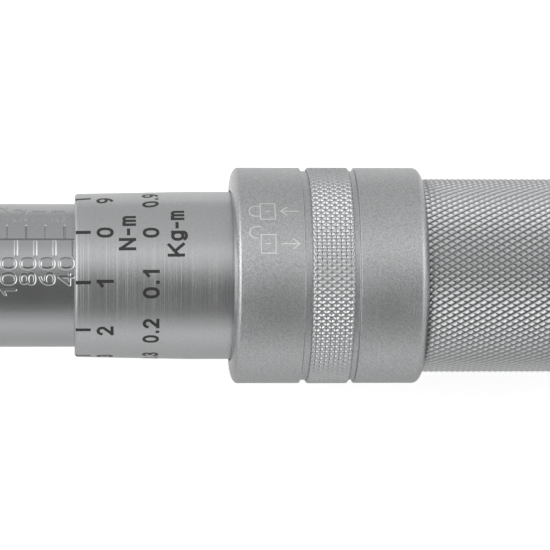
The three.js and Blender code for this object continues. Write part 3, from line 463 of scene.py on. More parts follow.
# Graduations of the sleeve
# Engraved and filled with black paint, ten to the turn, in two rings: newton metres and kilogram metres.
# The paint stands a hundredth of a millimetre proud of the chrome.
DIVISIONS = 10
ZERO_DOWN = math.radians(-0.5)
PAINT_STROKE = 0.5
PAINT_PROUD = 0.012
PAINT_DEEP = 0.06
TICK_WIDTH = 0.56
TICK_SPAN = (0.45, 2.25)  # from the lip
NUMBERS = (297.1, 2.68, PAINT_STROKE, 0.0, 13.2)  # baseline, height, stroke, gap and radius
SECOND_NUMBERS = (304.25, 2.62, PAINT_STROKE, 0.42, 13.3)
UNIT = (300.55, 2.62, 0.42, 0.5, 13.25)
SECOND_UNIT = (308.15, 2.62, 0.42, 0.42, 13.38)
UNIT_DOWN = math.radians(-0.6)
NUMBER_SHIFTS = (0.004, 0.012)  # from each line's angle to the middles of its two numbers, in radians


def subdivided(line, longest=0.3):
    """The line with points put in, so that no step is longer, and its bands follow the round surface."""
    line = np.asarray(line, float)
    parts = [line[:1]]
    for a, b in zip(line[:-1], line[1:]):
        share = np.linspace(0, 1, max(math.ceil(np.linalg.norm(b - a) / longest), 1) + 1)[1:, None]
        parts.append(a + (b - a) * share)
    return np.vstack(parts)


def ribbons(lines, width, laid, proud, deep):
    """Bands along flat lines, closed all round. laid(points, lift) puts flat points that far over the
    surface. Each line is offset by half the width to both sides along its mitred normal, and open ends go on
    by half of it."""
    points, quads, count = [], [], 0
    for line in lines:
        line = subdivided(line)
        closed = np.allclose(line[0], line[-1])
        if closed:
            line = line[:-1]
            before, after = line - np.roll(line, 1, 0), np.roll(line, -1, 0) - line
        else:
            steps = np.diff(line, axis=0)
            ends = steps[[0, -1]] / np.linalg.norm(steps[[0, -1]], axis=1)[:, None]
            line = line.copy()
            line[0] -= ends[0] * width / 2
            line[-1] += ends[1] * width / 2
            before, after = np.vstack([steps[:1], steps]), np.vstack([steps, steps[-1:]])
        before /= np.linalg.norm(before, axis=1)[:, None]
        after /= np.linalg.norm(after, axis=1)[:, None]
        along = before + after
        along /= np.linalg.norm(along, axis=1)[:, None]
        lean = np.clip(np.einsum("ij,ij->i", along, after), 0.6, 1)[:, None]
        normal = np.stack([-along[:, 1], along[:, 0]], 1) * width / 2 / lean
        left, right = line + normal, line - normal
        sides = ((left, proud), (right, proud), (right, -deep), (left, -deep))
        ring = np.stack([laid(side, lift) for side, lift in sides], 1)
        n = len(line)
        i = np.arange(n if closed else n - 1)[:, None]
        j = np.arange(4)[None, :]
        corners = [i * 4 + j, (i + 1) % n * 4 + j, (i + 1) % n * 4 + (j + 1) % 4, i * 4 + (j + 1) % 4]
        made = np.stack(np.broadcast_arrays(*corners), -1).reshape(-1, 4)
        if not closed:
            last = (n - 1) * 4
            made = np.vstack([made, [[0, 1, 2, 3]], [[last + 3, last + 2, last + 1, last]]])
        points.append(ring.reshape(-1, 3))
        quads.append(made + count)
        count += n * 4
    return np.vstack(points) * MM, np.vstack(quads)


def words_round(text, middle_down, baseline, height, stroke, gap, radius, wide=1.12):
    """Lines of a word that is read upwards: its letters stand towards the head, centred on an angle."""
    lines, width = lettering(text, height, stroke, gap, wide)
    start = middle_down * radius + width / 2
    return [np.stack([baseline - line[:, 1], start - line[:, 0]], 1) for line in lines]


paint_lines, number_lines = [], []
for i in range(DIVISIONS):
    down = ZERO_DOWN + i * 2 * math.pi / DIVISIONS
    around = down * LIP_RADIUS
    paint_lines.append([(LIP_X + x, around) for x in TICK_SPAN])
    number_lines += words_round(str(i), down + NUMBER_SHIFTS[0], *NUMBERS)
    second = "0" if i == 0 else "0." + str(i)
    number_lines += words_round(second, down + NUMBER_SHIFTS[1], *SECOND_NUMBERS)
number_lines += words_round("N-m", UNIT_DOWN, *UNIT)
number_lines += words_round("Kg-m", UNIT_DOWN, *SECOND_UNIT)


def on_thimble(points, lift):
    """Flat (x, around) points wrapped round the tapered sleeve, with around / radius as their angle."""
    radius = thimble_surface(points[:, 0])
    return on_wrench(points[:, 0], radius + lift, points[:, 1] / radius)


flat_ticks, tick_faces = ribbons(paint_lines, TICK_WIDTH, on_thimble, PAINT_PROUD, PAINT_DEEP)
flat_words, word_faces = ribbons(number_lines, PAINT_STROKE, on_thimble, PAINT_PROUD, PAINT_DEEP)
graduations = faces_object(
    "sleeve_graduations",
    np.vstack([flat_ticks, flat_words]),
    np.vstack([tick_faces, word_faces + len(flat_ticks)]),
    sharp=30,
)


def in_patches(tree, shader, size, detail, dark, light):
    """Lets the colour wander between two, in patches of that size in millimetres."""
    place = add(tree, "ShaderNodeTexCoord", {})
    cloudy = {"Scale": 1 / (size * MM), "Detail": detail}
    clouds = add(tree, "ShaderNodeTexNoise", cloudy, [("Vector", place, "Object")])
    two_tones = {"data_type": "RGBA", "A": linear(dark), "B": linear(light)}
    tone = add(tree, "ShaderNodeMix", two_tones, [("Factor", clouds, "Fac")])
    tree.links.new(tone.outputs["Result"], shader.inputs["Base Color"])


# Filled and wiped off paint is matt, chalky black.
black_paint, tree, shader = new_metal("black_engraving_paint", "#232323", 0.5, metallic=0.0)
in_patches(tree, shader, 0.3, 2.0, "#1c1c1c", "#323232")
fit(graduations, black_paint, "handle", "graduated_handle")


# Knurled grip
# The rear of the handle, rolled with two crossing sets of V grooves, which leave low domed diamonds. It is
# chromed after rolling. The grooves see little light and keep some dirt, and their colour is darkened with
# painted shade for it.
DIAMONDS_ROUND = 92
DIAMOND_PITCH = 1.72
GROOVE_SHARES = (0.66, 0.22)  # of a diamond, taken by the walls of each set of grooves
KNURL_WALL = 0.19  # of the knurled sleeve, under its grooves
GRIP_BEVEL = 0.8


def knurled_sleeve(name, x0, x1, top, dome, floor, inner, round_count, pitch, shares, bevel):
    """A knurled sleeve. Points (k, l) of a lattice lie at x = x0 + k pitch / 2 and l half steps round it.
    Diamonds are centred where k + l is odd and have their corners, at the grooves' floor, at the four next
    points. Their tops are the same diamonds, domed, shrunk by the first share across the lines of equal
    k + l, and by the second across those of equal k - l. All end at x0 and x1, and are bevelled at x1."""
    rows = round(2 * (x1 - x0) / pitch)
    rows -= rows % 2
    half = (x1 - x0) / rows
    turns = 2 * round_count
    k, l = np.meshgrid(np.arange(rows + 1), np.arange(turns), indexing="ij")
    floor_id = np.full(k.shape, -1)
    even = (k + l) % 2 == 0
    floor_id[even] = np.arange(even.sum())
    step = 2 * math.pi / turns

    def placed(kk, ll, radius):
        x = np.clip(x0 + kk * half, x0, x1)
        limit = top - np.clip(bevel - (x1 - x), 0, None)
        return on_wrench(x, np.minimum(radius, limit), ll * step)

    floors = placed(k[even], l[even], floor)
    ck, cl = k[~even], l[~even]
    long, short = 1 - (shares[0] + shares[1]) / 2, (shares[1] - shares[0]) / 2
    ways = [(long, short), (short, long), (-long, -short), (-short, -long)]
    tops = [placed(ck + dk, cl + dl, top - dome) for dk, dl in ways] + [placed(ck, cl, top)]
    diamonds = len(ck)
    base = len(floors)
    top_id = [base + m * diamonds + np.arange(diamonds) for m in range(5)]

    def floor_at(dk, dl):
        inside = np.clip(ck + dk, 0, rows)
        moved = np.where(inside == ck + dk, dl, 0)
        return floor_id[inside, (cl + moved) % turns]

    corner = [floor_at(1, 0), floor_at(0, 1), floor_at(-1, 0), floor_at(0, -1)]
    walls, pads = [], []
    low, high = ck > 0, ck < rows
    for m, n, usable in ((0, 1, high), (1, 2, low), (2, 3, low), (3, 0, high)):
        walls.append(np.stack([top_id[m], corner[m], corner[n], top_id[n]], 1)[usable])
        pads.append(np.stack([top_id[4], top_id[m], top_id[n]], 1)[usable])
    polygons = np.vstack(walls).tolist() + np.vstack(pads).tolist()
    # The end faces go from the rims' points in to a ring of points at the inner radius.
    n = np.arange(round_count)
    first = base + 5 * diamonds + n
    last = first + round_count
    ring_points = []
    for row, x, ring in ((0, x0, first), (rows, x1, last)):
        ring_points.append(on_wrench(np.full(round_count, x), np.full(round_count, inner), 2 * n * step))
        at = np.flatnonzero(ck == row)
        before, after = (cl[at] - 1) % turns, (cl[at] + 1) % turns
        rim = [floor_id[row, before], top_id[3][at], top_id[4][at], top_id[1][at], floor_id[row, after]]
        face = np.stack([*rim, ring[after // 2], ring[before // 2]], 1)
        polygons += (face if row == 0 else face[:, ::-1]).tolist()
    beside = (n + 1) % round_count
    polygons += np.stack([first[beside], first, last, last[beside]], 1).tolist()
    mesh = bpy.data.meshes.new(name)
    everything = np.vstack([floors, *tops, *ring_points]) * MM
    mesh.from_pydata(everything.tolist(), [], polygons)
    mesh.validate()
    groove_depth = mesh.attributes.new("groove_depth", "FLOAT", "POINT")
    groove_depth.data.foreach_set("value", (np.arange(len(everything)) < base).astype(float))
    mesh.polygons.foreach_set("use_smooth", np.ones(len(mesh.polygons), bool))
    mesh.set_sharp_from_angle(angle=math.radians(25))
    return new_object(name, mesh)


grip_knurl = knurled_sleeve(
    "knurled_grip",
    GRIP_START,
    GRIP_END,
    GRIP_RADIUS,
    GRIP_DOME,
    GRIP_FLOOR,
    GRIP_FLOOR - KNURL_WALL,
    DIAMONDS_ROUND,
    DIAMOND_PITCH,
    GROOVE_SHARES,
    GRIP_BEVEL,
)
# Chrome over rolled steel: each diamond's dome catches its own light, and painted shade with some dirt
# darkens the grooves.
knurl_chrome = drawn_chrome("chrome_on_rolled_knurl", "#c2c3c4", 0.32, (0.3, 0.004), groove_shade_and_dirt=0.42)
fit(grip_knurl, knurl_chrome, "handle", "graduated_handle")


# Lock collar
# A turned ring with a rounded rear edge and two grooves, satin chromed over a fine blast, which leaves an
# even grain. It slides back on the handle against its spring to free the lock balls.
COLLAR_START = 315.77
COLLAR_END = 346.5
COLLAR_RADIUS = 17.25
FRONT_ROUND = (1.15, 2.5)  # along and across the axis
REAR_ROUND = (1.6, 2.9)
GROOVE_ONE = (326.78, 327.9)
GROOVE_TWO = (334.6, 335.5)
GROOVE_FLOOR = 16.72
BAND_START = GROOVE_ONE[1]
BAND_END = GROOVE_TWO[0]
UNDER_BAND = 0.4  # the body under the knurled band lies this far below the collar's surface
CHAMBER_RADIUS = 15.8  # of the spring's room
LAND = (325.5, 331.5, 14.8)  # start, end and radius of the land that presses the balls
FRONT_BORE = 16.1
FRONT_WALL = 1.5
SLEEVE_CLEAR = 0.3
COLLAR_RIMS = (331.1, 14.2)  # middle of the collar, and the reach past which its rims are polished
# Fine blast under satin chrome breaks the light into an even sparkle. The rims are handled bright.
collar_chrome = drawn_chrome(
    "satin_chrome_over_fine_blast", "#babbbc", 0.4, (0.28, 0.05), (0.5, 0.01), speckle=0.15, rims=COLLAR_RIMS
)
front_arc = arc(COLLAR_START + FRONT_ROUND[0], COLLAR_RADIUS - FRONT_ROUND[1], *FRONT_ROUND, 180, 90)
rear_arc = arc(COLLAR_END - REAR_ROUND[0], COLLAR_RADIUS - REAR_ROUND[1], *REAR_ROUND, 90, 30)
collar = turned(
    "collar_body",
    [
        (COLLAR_START, THIMBLE_RADIUS + SLEEVE_CLEAR),
        *front_arc.tolist(),
        (GROOVE_ONE[0], COLLAR_RADIUS, 0.12),
        (GROOVE_ONE[0] + 0.1, GROOVE_FLOOR, 0.1),
        (GROOVE_ONE[1], GROOVE_FLOOR),
        (BAND_START, COLLAR_RADIUS - UNDER_BAND),
        (BAND_END, COLLAR_RADIUS - UNDER_BAND),
        (BAND_END, GROOVE_FLOOR),
        (GROOVE_TWO[1] - 0.1, GROOVE_FLOOR, 0.1),
        (GROOVE_TWO[1], COLLAR_RADIUS, 0.12),
        *rear_arc.tolist(),
        (LAND[1], CHAMBER_RADIUS),
        (LAND[1], LAND[2]),
        (LAND[0], LAND[2]),
        (LAND[0], FRONT_BORE),
        (COLLAR_START + FRONT_WALL, FRONT_BORE),
        (COLLAR_START + FRONT_WALL, THIMBLE_RADIUS + SLEEVE_CLEAR),
    ],
    spokes=240,
)
fit(collar, collar_chrome, "collar", "lock_collar")


# Knurled band of the collar
# Rolled with a male diamond tool, so two crossing sets of ridges stand up round small diamond pits. The
# ridges run out at both edges of the band, where the tool is chamfered.
PITS_ROUND = 102
PIT_PITCH = 1.5
RIDGE_HEIGHT = 0.25
RIDGE_TOP = 0.14  # flat share of the way from a ridge to the middle between two, and its wall's share
RIDGE_WALL = 0.7
RUN_OUT = (0.35, 0.3)  # length and depth of the ridges' run-out at the band's edges
BAND_PROUD = 0.02
BAND_INNER = 0.45  # depth of the band's hidden inner side
band_rows = np.linspace(BAND_START, BAND_END, 58)
band_down = np.linspace(0, 2 * math.pi, PITS_ROUND * 10, endpoint=False)
band_x, band_turn = np.meshgrid(band_rows, band_down, indexing="ij")
# A ridge follows each line where x / pitch + or - the number of pits round is whole.
across = (band_x - BAND_START) / PIT_PITCH
ridge = np.zeros_like(across)
for sign in (1, -1):
    phase = across + sign * band_turn * PITS_ROUND / (2 * math.pi)
    off = np.abs(phase - np.round(phase)) * 2
    ridge = np.maximum(ridge, 1 - np.clip((off - RIDGE_TOP) / RIDGE_WALL, 0, 1))
edge = np.minimum(band_x - BAND_START, BAND_END - band_x)
edge_drop = RUN_OUT[1] * np.clip(1 - edge / RUN_OUT[0], 0, 1) ** 2
band_r = COLLAR_RADIUS + BAND_PROUD - RIDGE_HEIGHT * (1 - ridge) - edge_drop
inner_x = np.repeat(np.array([[BAND_END], [BAND_START]]), len(band_down), 1)
inner_r = np.full(inner_x.shape, COLLAR_RADIUS - BAND_INNER)
inner_turn = np.repeat(band_down[None], 2, 0)
band_points = on_wrench(
    np.vstack([band_x, inner_x]), np.vstack([band_r, inner_r]), np.vstack([band_turn, inner_turn])
)
band = grid_object("collar_knurled_band", band_points, sharp=60)
# Rolled ridges are burnished by the tool, so they shine in points, without the collar's blast.
band_chrome = drawn_chrome("chrome_on_rolled_band", "#bfc0c1", 0.27, (0.2, 0.004))
fit(band, band_chrome, "collar", "lock_collar")


# Lock mark of the collar
# Fine engraved lines in two rows: a shut padlock with an arrow to the head, and an open one with an arrow to
# the grip, the way the collar is pulled. An engraved line is a bright, frosted scratch in the satin surface.
MARK_STROKE = 0.15
MARK_PROUD = 0.006
MARK_DEEP = 0.05
MARK_ROWS = (-1.5, 4.2)  # middles of the two rows, round the collar from straight up
LOCK_X = 322.2
ARROW_SPAN = (323.1, 325.9)
BOW_OPEN = 1.9
ARROW_HEAD = (0.95, 0.8)  # length and half width


def padlock(x, around, open_by):
    """Lines of a padlock on its side, its bow towards the head: a square body, its slot and a round bow. An
    open one's bow is moved sideways by open_by, so that one leg stands clear."""
    body = np.array([(0, -1.5), (0, 1.5), (-2.3, 1.5), (-2.3, -1.5), (0, -1.5)])
    free_leg = (-2.3 - 0.5 * (open_by > 0), 0.95)
    bow = np.vstack([[(-2.3, -0.95)], arc(-3.1, 0, 0.95, 0.95, 270, 90), [free_leg]])
    slot = np.array([(-0.8, 0.0), (-1.5, 0.0)])
    return [line + [x, around] for line in (body, bow + [0, -open_by], slot)]


def arrow(x0, x1, around):
    """Lines of an arrow from x0 to x1."""
    back = x1 - math.copysign(ARROW_HEAD[0], x1 - x0)
    head = [(back, around - ARROW_HEAD[1]), (x1, around), (back, around + ARROW_HEAD[1])]
    return [np.array([(x0, around), (x1, around)]), np.array(head)]


mark_lines = padlock(LOCK_X, MARK_ROWS[0], 0.0) + arrow(*ARROW_SPAN[::-1], MARK_ROWS[0])
mark_lines += padlock(LOCK_X, MARK_ROWS[1], BOW_OPEN) + arrow(*ARROW_SPAN, MARK_ROWS[1])


def on_collar(points, lift):
    """Flat (x, around) points wrapped round the collar."""
    return on_wrench(points[:, 0], COLLAR_RADIUS + lift, points[:, 1] / COLLAR_RADIUS)


mark_flat, mark_faces = ribbons(mark_lines, MARK_STROKE, on_collar, MARK_PROUD, MARK_DEEP)
lock_mark = faces_object("collar_lock_mark", mark_flat, mark_faces, sharp=30)
# An engraved line is torn metal, so it is matt and scatters light all ways.
scratch, tree, shader = new_metal("engraved_frosted_line", "#e2e2e2", 0.55)
place = add(tree, "ShaderNodeTexCoord", {})
tear_settings = {"Scale": 1 / (0.1 * MM), "Detail": 1.0}
tears = add(tree, "ShaderNodeTexNoise", tear_settings, [("Vector", place, "Object")])
jag = add(tree, "ShaderNodeBump", {"Strength": 1.0, "Distance": 0.01 * MM}, [("Height", tears, "Fac")])
tree.links.new(jag.outputs["Normal"], shader.inputs["Normal"])
fit(lock_mark, scratch, "collar", "lock_collar")


# End cap
# A turned steel cap pushed into the handle's bore, with a round rim and a recess for the hexagon nut that
# locks it to the adjusting screw.
CAP_START = 471.8
CAP_END = 479.5
CAP_RADIUS = 15.2
PLUG_START = 458.0
PLUG_RADIUS = 11.3
RECESS_FLOOR = 474.6
RECESS_RADIUS = 8.3
STUD_HOLE = 4.3
RIM_ROUND = 2.2
end_cap = turned(
    "cap_body",
    [
        (PLUG_START, STUD_HOLE),
        (PLUG_START, PLUG_RADIUS, 0.3),
        (CAP_START, PLUG_RADIUS),
        (CAP_START, CAP_RADIUS, 0.3),
        (CAP_END, CAP_RADIUS, RIM_ROUND),
        (CAP_END, RECESS_RADIUS, 0.3),
        (RECESS_FLOOR, RECESS_RADIUS, 0.2),
        (RECESS_FLOOR, STUD_HOLE),
    ],
)
# The same blast and satin chrome as the collar's, a little smoother.
blasted_chrome = drawn_chrome("satin_chrome_over_blasted_steel", "#babbbc", 0.38, (0.3, 0.04), speckle=0.1)
fit(end_cap, blasted_chrome, "handle", "end_cap")


# Springs
# Cold wound from oil-tempered wire, with the end turns wound close so that the spring sits square.
TORQUE_START = 158.3
TORQUE_SPRING = (179.4, 6.95, 3.6, 22)  # length, radius, wire and turns of each spring
RETURN_START = 332.9
RETURN_SPRING = (12.3, 14.5, 1.2, 5)
BALL_START = -2.85
BALL_HEIGHT = 7.0
BALL_SPRING = (5.2, 1.7, 0.6, 5)
LEVER_AXIS = np.array([30.0, 0.0, AXIS_HEIGHT])
SELECTOR_WAY = np.array([math.cos(math.radians(-30)), math.sin(math.radians(-30)), 0.0])
SELECTOR_START = -1.3  # from the lever's axis
SELECTOR_SPRING = (3.9, 0.9, 0.4, 5)
STILL = 0.3  # share of the torque spring's wire in front of the place that stands still


def coil(name, start, way, length, radius, wire, turns, sides=10, steps=28, share=(0, 1)):
    """A spring from start along way, or the share of it between two fractions, and its wire's two ends in
    metres. The wire's centre goes round at that radius and moves on with the turns, by one wire over the
    first and the last of them, and the wire is a ring of sides points round that centre, closed by a fan at
    each end."""
    way = np.array(way, float) / np.linalg.norm(way)
    side = np.cross(way, [0, 0, 1.0])
    side /= np.linalg.norm(side)
    third = np.cross(way, side)
    count = int(turns * steps)
    turn = np.linspace(0, turns, count + 1)
    close = wire * 1.03
    middle = (length - wire - 2 * close) / (turns - 2)
    places = [0, 0.8, 1.4, turns - 1.4, turns - 0.8, turns]
    pace = np.interp(turn, places, [close, close, middle, middle, close, close])
    advance = np.concatenate([[0], np.cumsum((pace[1:] + pace[:-1]) / 2 * np.diff(turn))])
    advance *= (length - wire) / advance[-1]
    a = turn * 2 * math.pi
    out = np.cos(a)[:, None] * side + np.sin(a)[:, None] * third
    centre = np.array(start) + out * radius + (advance + wire / 2)[:, None] * way
    tangent = np.gradient(centre, axis=0)
    tangent /= np.linalg.norm(tangent, axis=1)[:, None]
    other = np.cross(tangent, out)
    b = np.linspace(0, 2 * math.pi, sides, endpoint=False)
    ring = out[:, None] * np.cos(b)[None, :, None] + other[:, None] * np.sin(b)[None, :, None]
    points = centre[:, None] + ring * wire / 2
    kept = slice(round(share[0] * count), round(share[1] * count) + 1)
    centre, points = centre[kept], points[kept]
    # The first and the last ring are repeated at the wire's centre, so that their quads close the ends.
    tips = [np.repeat(tip[None, None], sides, 1) for tip in (centre[0], centre[-1])]
    piece = grid_object(name, np.concatenate([tips[0], points, tips[1]]), wrap_rows=False, sharp=50)
    welded = bmesh.new()
    welded.from_mesh(piece.data)
    bmesh.ops.remove_doubles(welded, verts=welded.verts, dist=1e-7)
    welded.to_mesh(piece.data)
    welded.free()
    return piece, centre[[0, -1]] * MM


# Drawn wire keeps the blue grey skin of its oil tempering, in patches.
spring_steel, tree, shader = new_metal("oil_tempered_spring_steel", "#6d6f72", 0.36)
in_patches(tree, shader, 1.4, 4.0, "#55585c", "#7c7d80")

# The torque spring is squeezed from both ends: by the plunger as the wrench clicks, and by the screw. It is
# built in two parts, split at a place on the wire that stands still.
torque_from = (TORQUE_START, 0, AXIS_HEIGHT)
front_part, ends = coil("torque_spring_front", torque_from, (1, 0, 0), *TORQUE_SPRING, share=(0, STILL))
fit(front_part, spring_steel, "tube", "main_spring")
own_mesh(front_part)
rear_part = coil("torque_spring_rear", torque_from, (1, 0, 0), *TORQUE_SPRING, share=(STILL, 1))[0]
fit(rear_part, spring_steel, "tube", "main_spring")
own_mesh(rear_part)

return_from = (RETURN_START, 0, AXIS_HEIGHT)
return_spring = coil("return_spring", return_from, (1, 0, 0), *RETURN_SPRING, steps=48)[0]
fit(return_spring, spring_steel, "handle", "collar_spring")
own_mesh(return_spring)

ball_from = (BALL_START, 0, BALL_HEIGHT)
ball_spring = coil("ball_spring", ball_from, (1, 0, 0), *BALL_SPRING, sides=8, steps=20)[0]
fit(ball_spring, spring_steel, "drive", "socket_ball_spring")
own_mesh(ball_spring)

selector_from = LEVER_AXIS + SELECTOR_START * SELECTOR_WAY
pin_spring = coil("selector_pin_spring", selector_from, SELECTOR_WAY, *SELECTOR_SPRING, sides=8, steps=16)[0]
fit(pin_spring, spring_steel, "lever", "selector_spring")
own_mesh(pin_spring)


# Head, lever and the pieces inside
# The head is a chromed forging with a blasted cover. The lever is cast and chromed, the gear and the square
# are ground steel, and the small hard pieces are black from their heat treatment.


def softened(name, node, width, segments=3, angle=35):
    """A copy of a node's mesh with its doubled points merged and its sharp edges rounded off."""
    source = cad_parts[node]
    mesh = source.data.copy()
    shape = bmesh.new()
    shape.from_mesh(mesh)
    shape.transform(source.matrix_world)
    bmesh.ops.remove_doubles(shape, verts=shape.verts, dist=1e-6)
    bmesh.ops.dissolve_limit(
        shape, angle_limit=math.radians(0.5), verts=shape.verts, edges=shape.edges, delimit={"NORMAL"}
    )
    shape.to_mesh(mesh)
    shape.free()
    mesh.polygons.foreach_set("use_smooth", np.ones(len(mesh.polygons), bool))
    piece = new_object(name, mesh)
    bevel = piece.modifiers.new("edges", "BEVEL")
    bevel.width = width * MM
    bevel.segments = segments
    bevel.limit_method = "ANGLE"
    bevel.angle_limit = math.radians(angle)
    bevel.harden_normals = True
    return piece


# Polished before it is plated, so the head and the lever mirror the tent nearly clearly.
forged_chrome = drawn_chrome("polished_chrome_on_forging", "#c2c3c4", 0.17, (0.6, 0.004))
head_piece = softened("head_forging", "ratchet_head", 0.35)
fit(head_piece, forged_chrome, "head", "ratchet_head")
cover_piece = softened("ratchet_cover", "cover_plate", 0.2)
fit(cover_piece, blasted_chrome, "head", "cover_plate")
lever_piece = softened("thumb_lever", "reversing_lever", 0.3)
fit(lever_piece, forged_chrome, "lever", "reversing_lever")

# Two arrows engraved in the cover and filled with black show which way the square drives.
COVER_TOP = 39.5
ARROW_RADIUS = 14.0
ARROW_ANGLES = (17, 47)
ARROW_TIP = (1.7, 1.2)  # length and half width
ARROW_DEEP = 0.1


def on_cover(points, lift):
    """Flat (x, y) points laid on the cover."""
    return np.column_stack([points, np.full(len(points), COVER_TOP + lift)])


turn_lines = []
for side in (1, -1):
    shaft = arc(0, 0, ARROW_RADIUS, ARROW_RADIUS, side * ARROW_ANGLES[0], side * ARROW_ANGLES[1])
    along = (shaft[-1] - shaft[-2]) / np.linalg.norm(shaft[-1] - shaft[-2])
    across = np.array([-along[1], along[0]])
    back = shaft[-1] - ARROW_TIP[0] * along
    wing = ARROW_TIP[1] * across
    turn_lines += [shaft, np.array([back + wing, shaft[-1], back - wing])]
arrow_flat, arrow_faces = ribbons(turn_lines, PAINT_STROKE, on_cover, PAINT_PROUD, ARROW_DEEP)
turn_arrows = faces_object("cover_turn_arrows", arrow_flat, arrow_faces, sharp=30)
fit(turn_arrows, black_paint, "head", "cover_plate")

# Bare ground steel shows its grinding lines. Hardened steel is left black, and takes in most of the light.
ground_steel = drawn_chrome("ground_steel", "#a9aaac", 0.28, (0.3, 0.004), (0.3, 0.01))
black_steel = drawn_chrome("black_hardened_steel", "#4a4b4e", 0.4, (0.25, 0.006), speckle=0.2)
finishes = [
    (ground_steel, "drive_gear socket_ball plunger spring_seat thrust_ball adjusting_nut adjusting_screw"),
    (ground_steel, "lock_ball_1 lock_ball_2 lock_ball_3 collar_washer"),
    (spring_steel, "collar_stop_ring"),
    (black_steel, "cover_screw_1 cover_screw_2 cover_screw_3 pawl selector_plunger pivot_pin click_block"),
    (black_steel, "nut_pin_1 nut_pin_2 cap_nut"),
]
for material, nodes in finishes:
    for node in nodes.split():
        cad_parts[node].data.materials.clear()
        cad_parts[node].data.materials.append(material)


# Floor, light and camera
# A white table inside a light tent. The tent is bright overhead and behind, and darker on the camera's side,
# which gives the long bright and dark bands along the chrome.
TABLE_WHITE = 0.62  # share of the light that the table scatters
TABLE_SEEN = 0.7  # glow of the table where the camera sees it
# Glow of the table where the chrome mirrors it, by its place along Y in metres, before GLOW_LESS is taken
# off everywhere, because a ramp holds no values below zero.
FLOOR_GLOW = [(-0.2, 0.0), (-0.06, 0.27), (-0.025, 0.18), (0.0, 0.3), (0.2, 0.3)]
GLOW_LESS = 0.1
HALF_FLOOR = 4.0  # in metres, as its height is
FLOOR_HEIGHT = -0.0006
scene = bpy.context.scene


def ramp_of(tree, values, source, output):
    """A smooth ramp through (place, value) pairs, with the first place taken to 0 and the last to 1."""
    low, high = values[0][0], values[-1][0]
    span = {"From Min": low, "From Max": high}
    share = add(tree, "ShaderNodeMapRange", span, [("Value", source, output)])
    ramp = add(tree, "ShaderNodeValToRGB", {}, [("Fac", share, "Result")])
    ramp.color_ramp.interpolation = "EASE"
    elements = ramp.color_ramp.elements
    while len(elements) < len(values):
        elements.new(0.5)
    top = max(value for _, value in values)
    for element, (place, value) in zip(elements, values):
        element.position = (place - low) / (high - low)
        element.color = (value / top,) * 3 + (1,)
    return add(tree, "ShaderNodeMath", {"operation": "MULTIPLY", 1: top}, [(0, ramp, "Color")])


floor_mesh = bpy.data.meshes.new("floor")
floor_corners = HALF_FLOOR * np.array([(-1, -1), (1, -1), (1, 1), (-1, 1)])
floor_mesh.from_pydata([(x, y, FLOOR_HEIGHT) for x, y in floor_corners.tolist()], [], [(0, 1, 2, 3)])
floor = new_object("floor", floor_mesh)
paper = bpy.data.materials.new("white_table")
paper.use_nodes = True
tree = paper.node_tree
tree.nodes.clear()
matt = add(tree, "ShaderNodeBsdfDiffuse", {"Color": (TABLE_WHITE, TABLE_WHITE, TABLE_WHITE, 1)})
path = add(tree, "ShaderNodeLightPath", {})
seen = add(tree, "ShaderNodeMath", {"operation": "MULTIPLY", 1: TABLE_SEEN}, [(0, path, "Is Camera Ray")])
place = add(tree, "ShaderNodeTexCoord", {})
axes = add(tree, "ShaderNodeSeparateXYZ", {}, [("Vector", place, "Object")])
across_table = ramp_of(tree, FLOOR_GLOW, axes, "Y")
less = {"operation": "SUBTRACT", 1: GLOW_LESS}
lowered = add(tree, "ShaderNodeMath", less, [(0, across_table, "Value")])
mirrored = add(
    tree,
    "ShaderNodeMath",
    {"operation": "MULTIPLY_ADD"},
    [(0, path, "Is Glossy Ray"), (1, lowered, "Value"), (2, seen, "Value")],
)
glow = add(tree, "ShaderNodeEmission", {"Color": (1, 1, 1, 1)}, [("Strength", mirrored, "Value")])
both = add(tree, "ShaderNodeAddShader", {}, [(0, matt, "BSDF"), (1, glow, "Emission")])
add(tree, "ShaderNodeOutputMaterial", {}, [("Surface", both, "Shader")])
floor_mesh.materials.append(paper)

# Brightness of the tent by height over the camera's horizon, in degrees up to 180 at the far horizon, and
# of the lamps behind its two ends by the share of the way that points along the wrench, and by height.
TENT = [
    (0, 0.27), (10, 0.23), (24, 0.18), (45, 0.17), (58, 0.31),
    (74, 0.68), (90, 0.88), (112, 0.63), (180, 0.6),
]
END_LAMPS = [
    (-1, 0.2), (-0.85, 1.7), (-0.55, 2.2), (-0.3, 0.0),
    (0.35, 0.0), (0.6, 1.4), (0.85, 1.1), (1, 0.2),
]
LAMP_HEIGHTS = [(0, 0.45), (30, 0.8), (65, 1.0), (98, 0.8), (125, 0.3), (180, 0.0)]

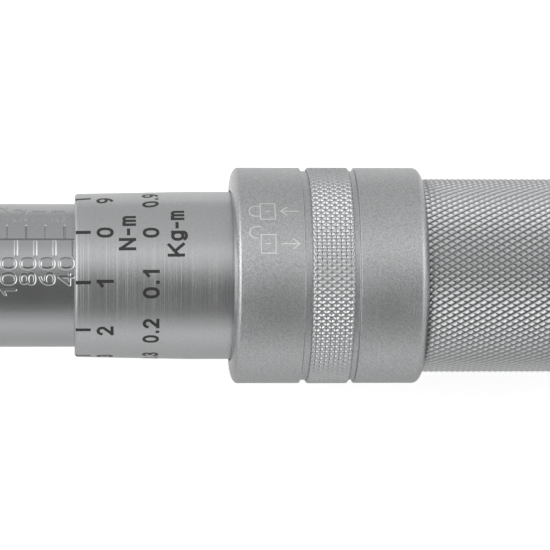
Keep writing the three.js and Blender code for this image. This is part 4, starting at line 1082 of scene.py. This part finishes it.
world = bpy.data.worlds.new("light_tent")
scene.world = world
world.use_nodes = True
tree = world.node_tree
tree.nodes.clear()
way = add(tree, "ShaderNodeTexCoord", {})
axes = add(tree, "ShaderNodeSeparateXYZ", {}, [("Vector", way, "Generated")])
near_side = add(tree, "ShaderNodeMath", {"operation": "MULTIPLY", 1: -1.0}, [(0, axes, "Y")])
height = add(tree, "ShaderNodeMath", {"operation": "ARCTAN2"}, [(0, axes, "Z"), (1, near_side, "Value")])
degrees = add(tree, "ShaderNodeMath", {"operation": "DEGREES"}, [(0, height, "Value")])
cloth = ramp_of(tree, TENT, degrees, "Value")
lamps = ramp_of(tree, END_LAMPS, axes, "X")
raised = ramp_of(tree, LAMP_HEIGHTS, degrees, "Value")
total = add(
    tree,
    "ShaderNodeMath",
    {"operation": "MULTIPLY_ADD"},
    [(0, lamps, "Value"), (1, raised, "Value"), (2, cloth, "Value")],
)
tent = add(tree, "ShaderNodeBackground", {"Color": (1, 1, 1, 1)}, [("Strength", total, "Value")])
white = add(tree, "ShaderNodeBackground", {"Color": (1, 1, 1, 1), "Strength": 1.0})
path = add(tree, "ShaderNodeLightPath", {})
pick = add(tree, "ShaderNodeMixShader", {}, [(0, path, "Is Camera Ray"), (1, tent, 0), (2, white, 0)])
add(tree, "ShaderNodeOutputWorld", {}, [("Surface", pick, "Shader")])

EYE_HEIGHT = math.radians(59.5)  # of the line of sight over the horizon
EYE_DISTANCE = 530.0
EYE_X = 291.0
VIEW_WIDTH = 88.1  # seen across the picture at the wrench's axis
VIEW_X = 323.04
AXIS_BELOW_MIDDLE = 0.06
SENSOR = 36.0
away = np.array([0, -math.cos(EYE_HEIGHT), math.sin(EYE_HEIGHT)])
middle = np.array([VIEW_X, 0, AXIS_HEIGHT])
eye = np.array([EYE_X, 0, AXIS_HEIGHT]) + away * EYE_DISTANCE
forward = middle - eye
reach = np.linalg.norm(forward)
forward /= reach
right = np.array([1.0, 0, 0]) - forward[0] * forward
right /= np.linalg.norm(right)
up = np.cross(right, forward)
eye += up * AXIS_BELOW_MIDDLE
camera = new_object("camera", bpy.data.cameras.new("camera"))
camera.data.sensor_width = SENSOR
camera.data.lens = SENSOR * reach / VIEW_WIDTH
camera.data.clip_start = 0.01
camera.matrix_world = Matrix(
    [[*row, place * MM] for row, place in zip(np.stack([right, up, -forward], 1).tolist(), eye.tolist())]
    + [[0, 0, 0, 1]]
)
scene.camera = camera
scene.view_settings.view_transform = "Standard"
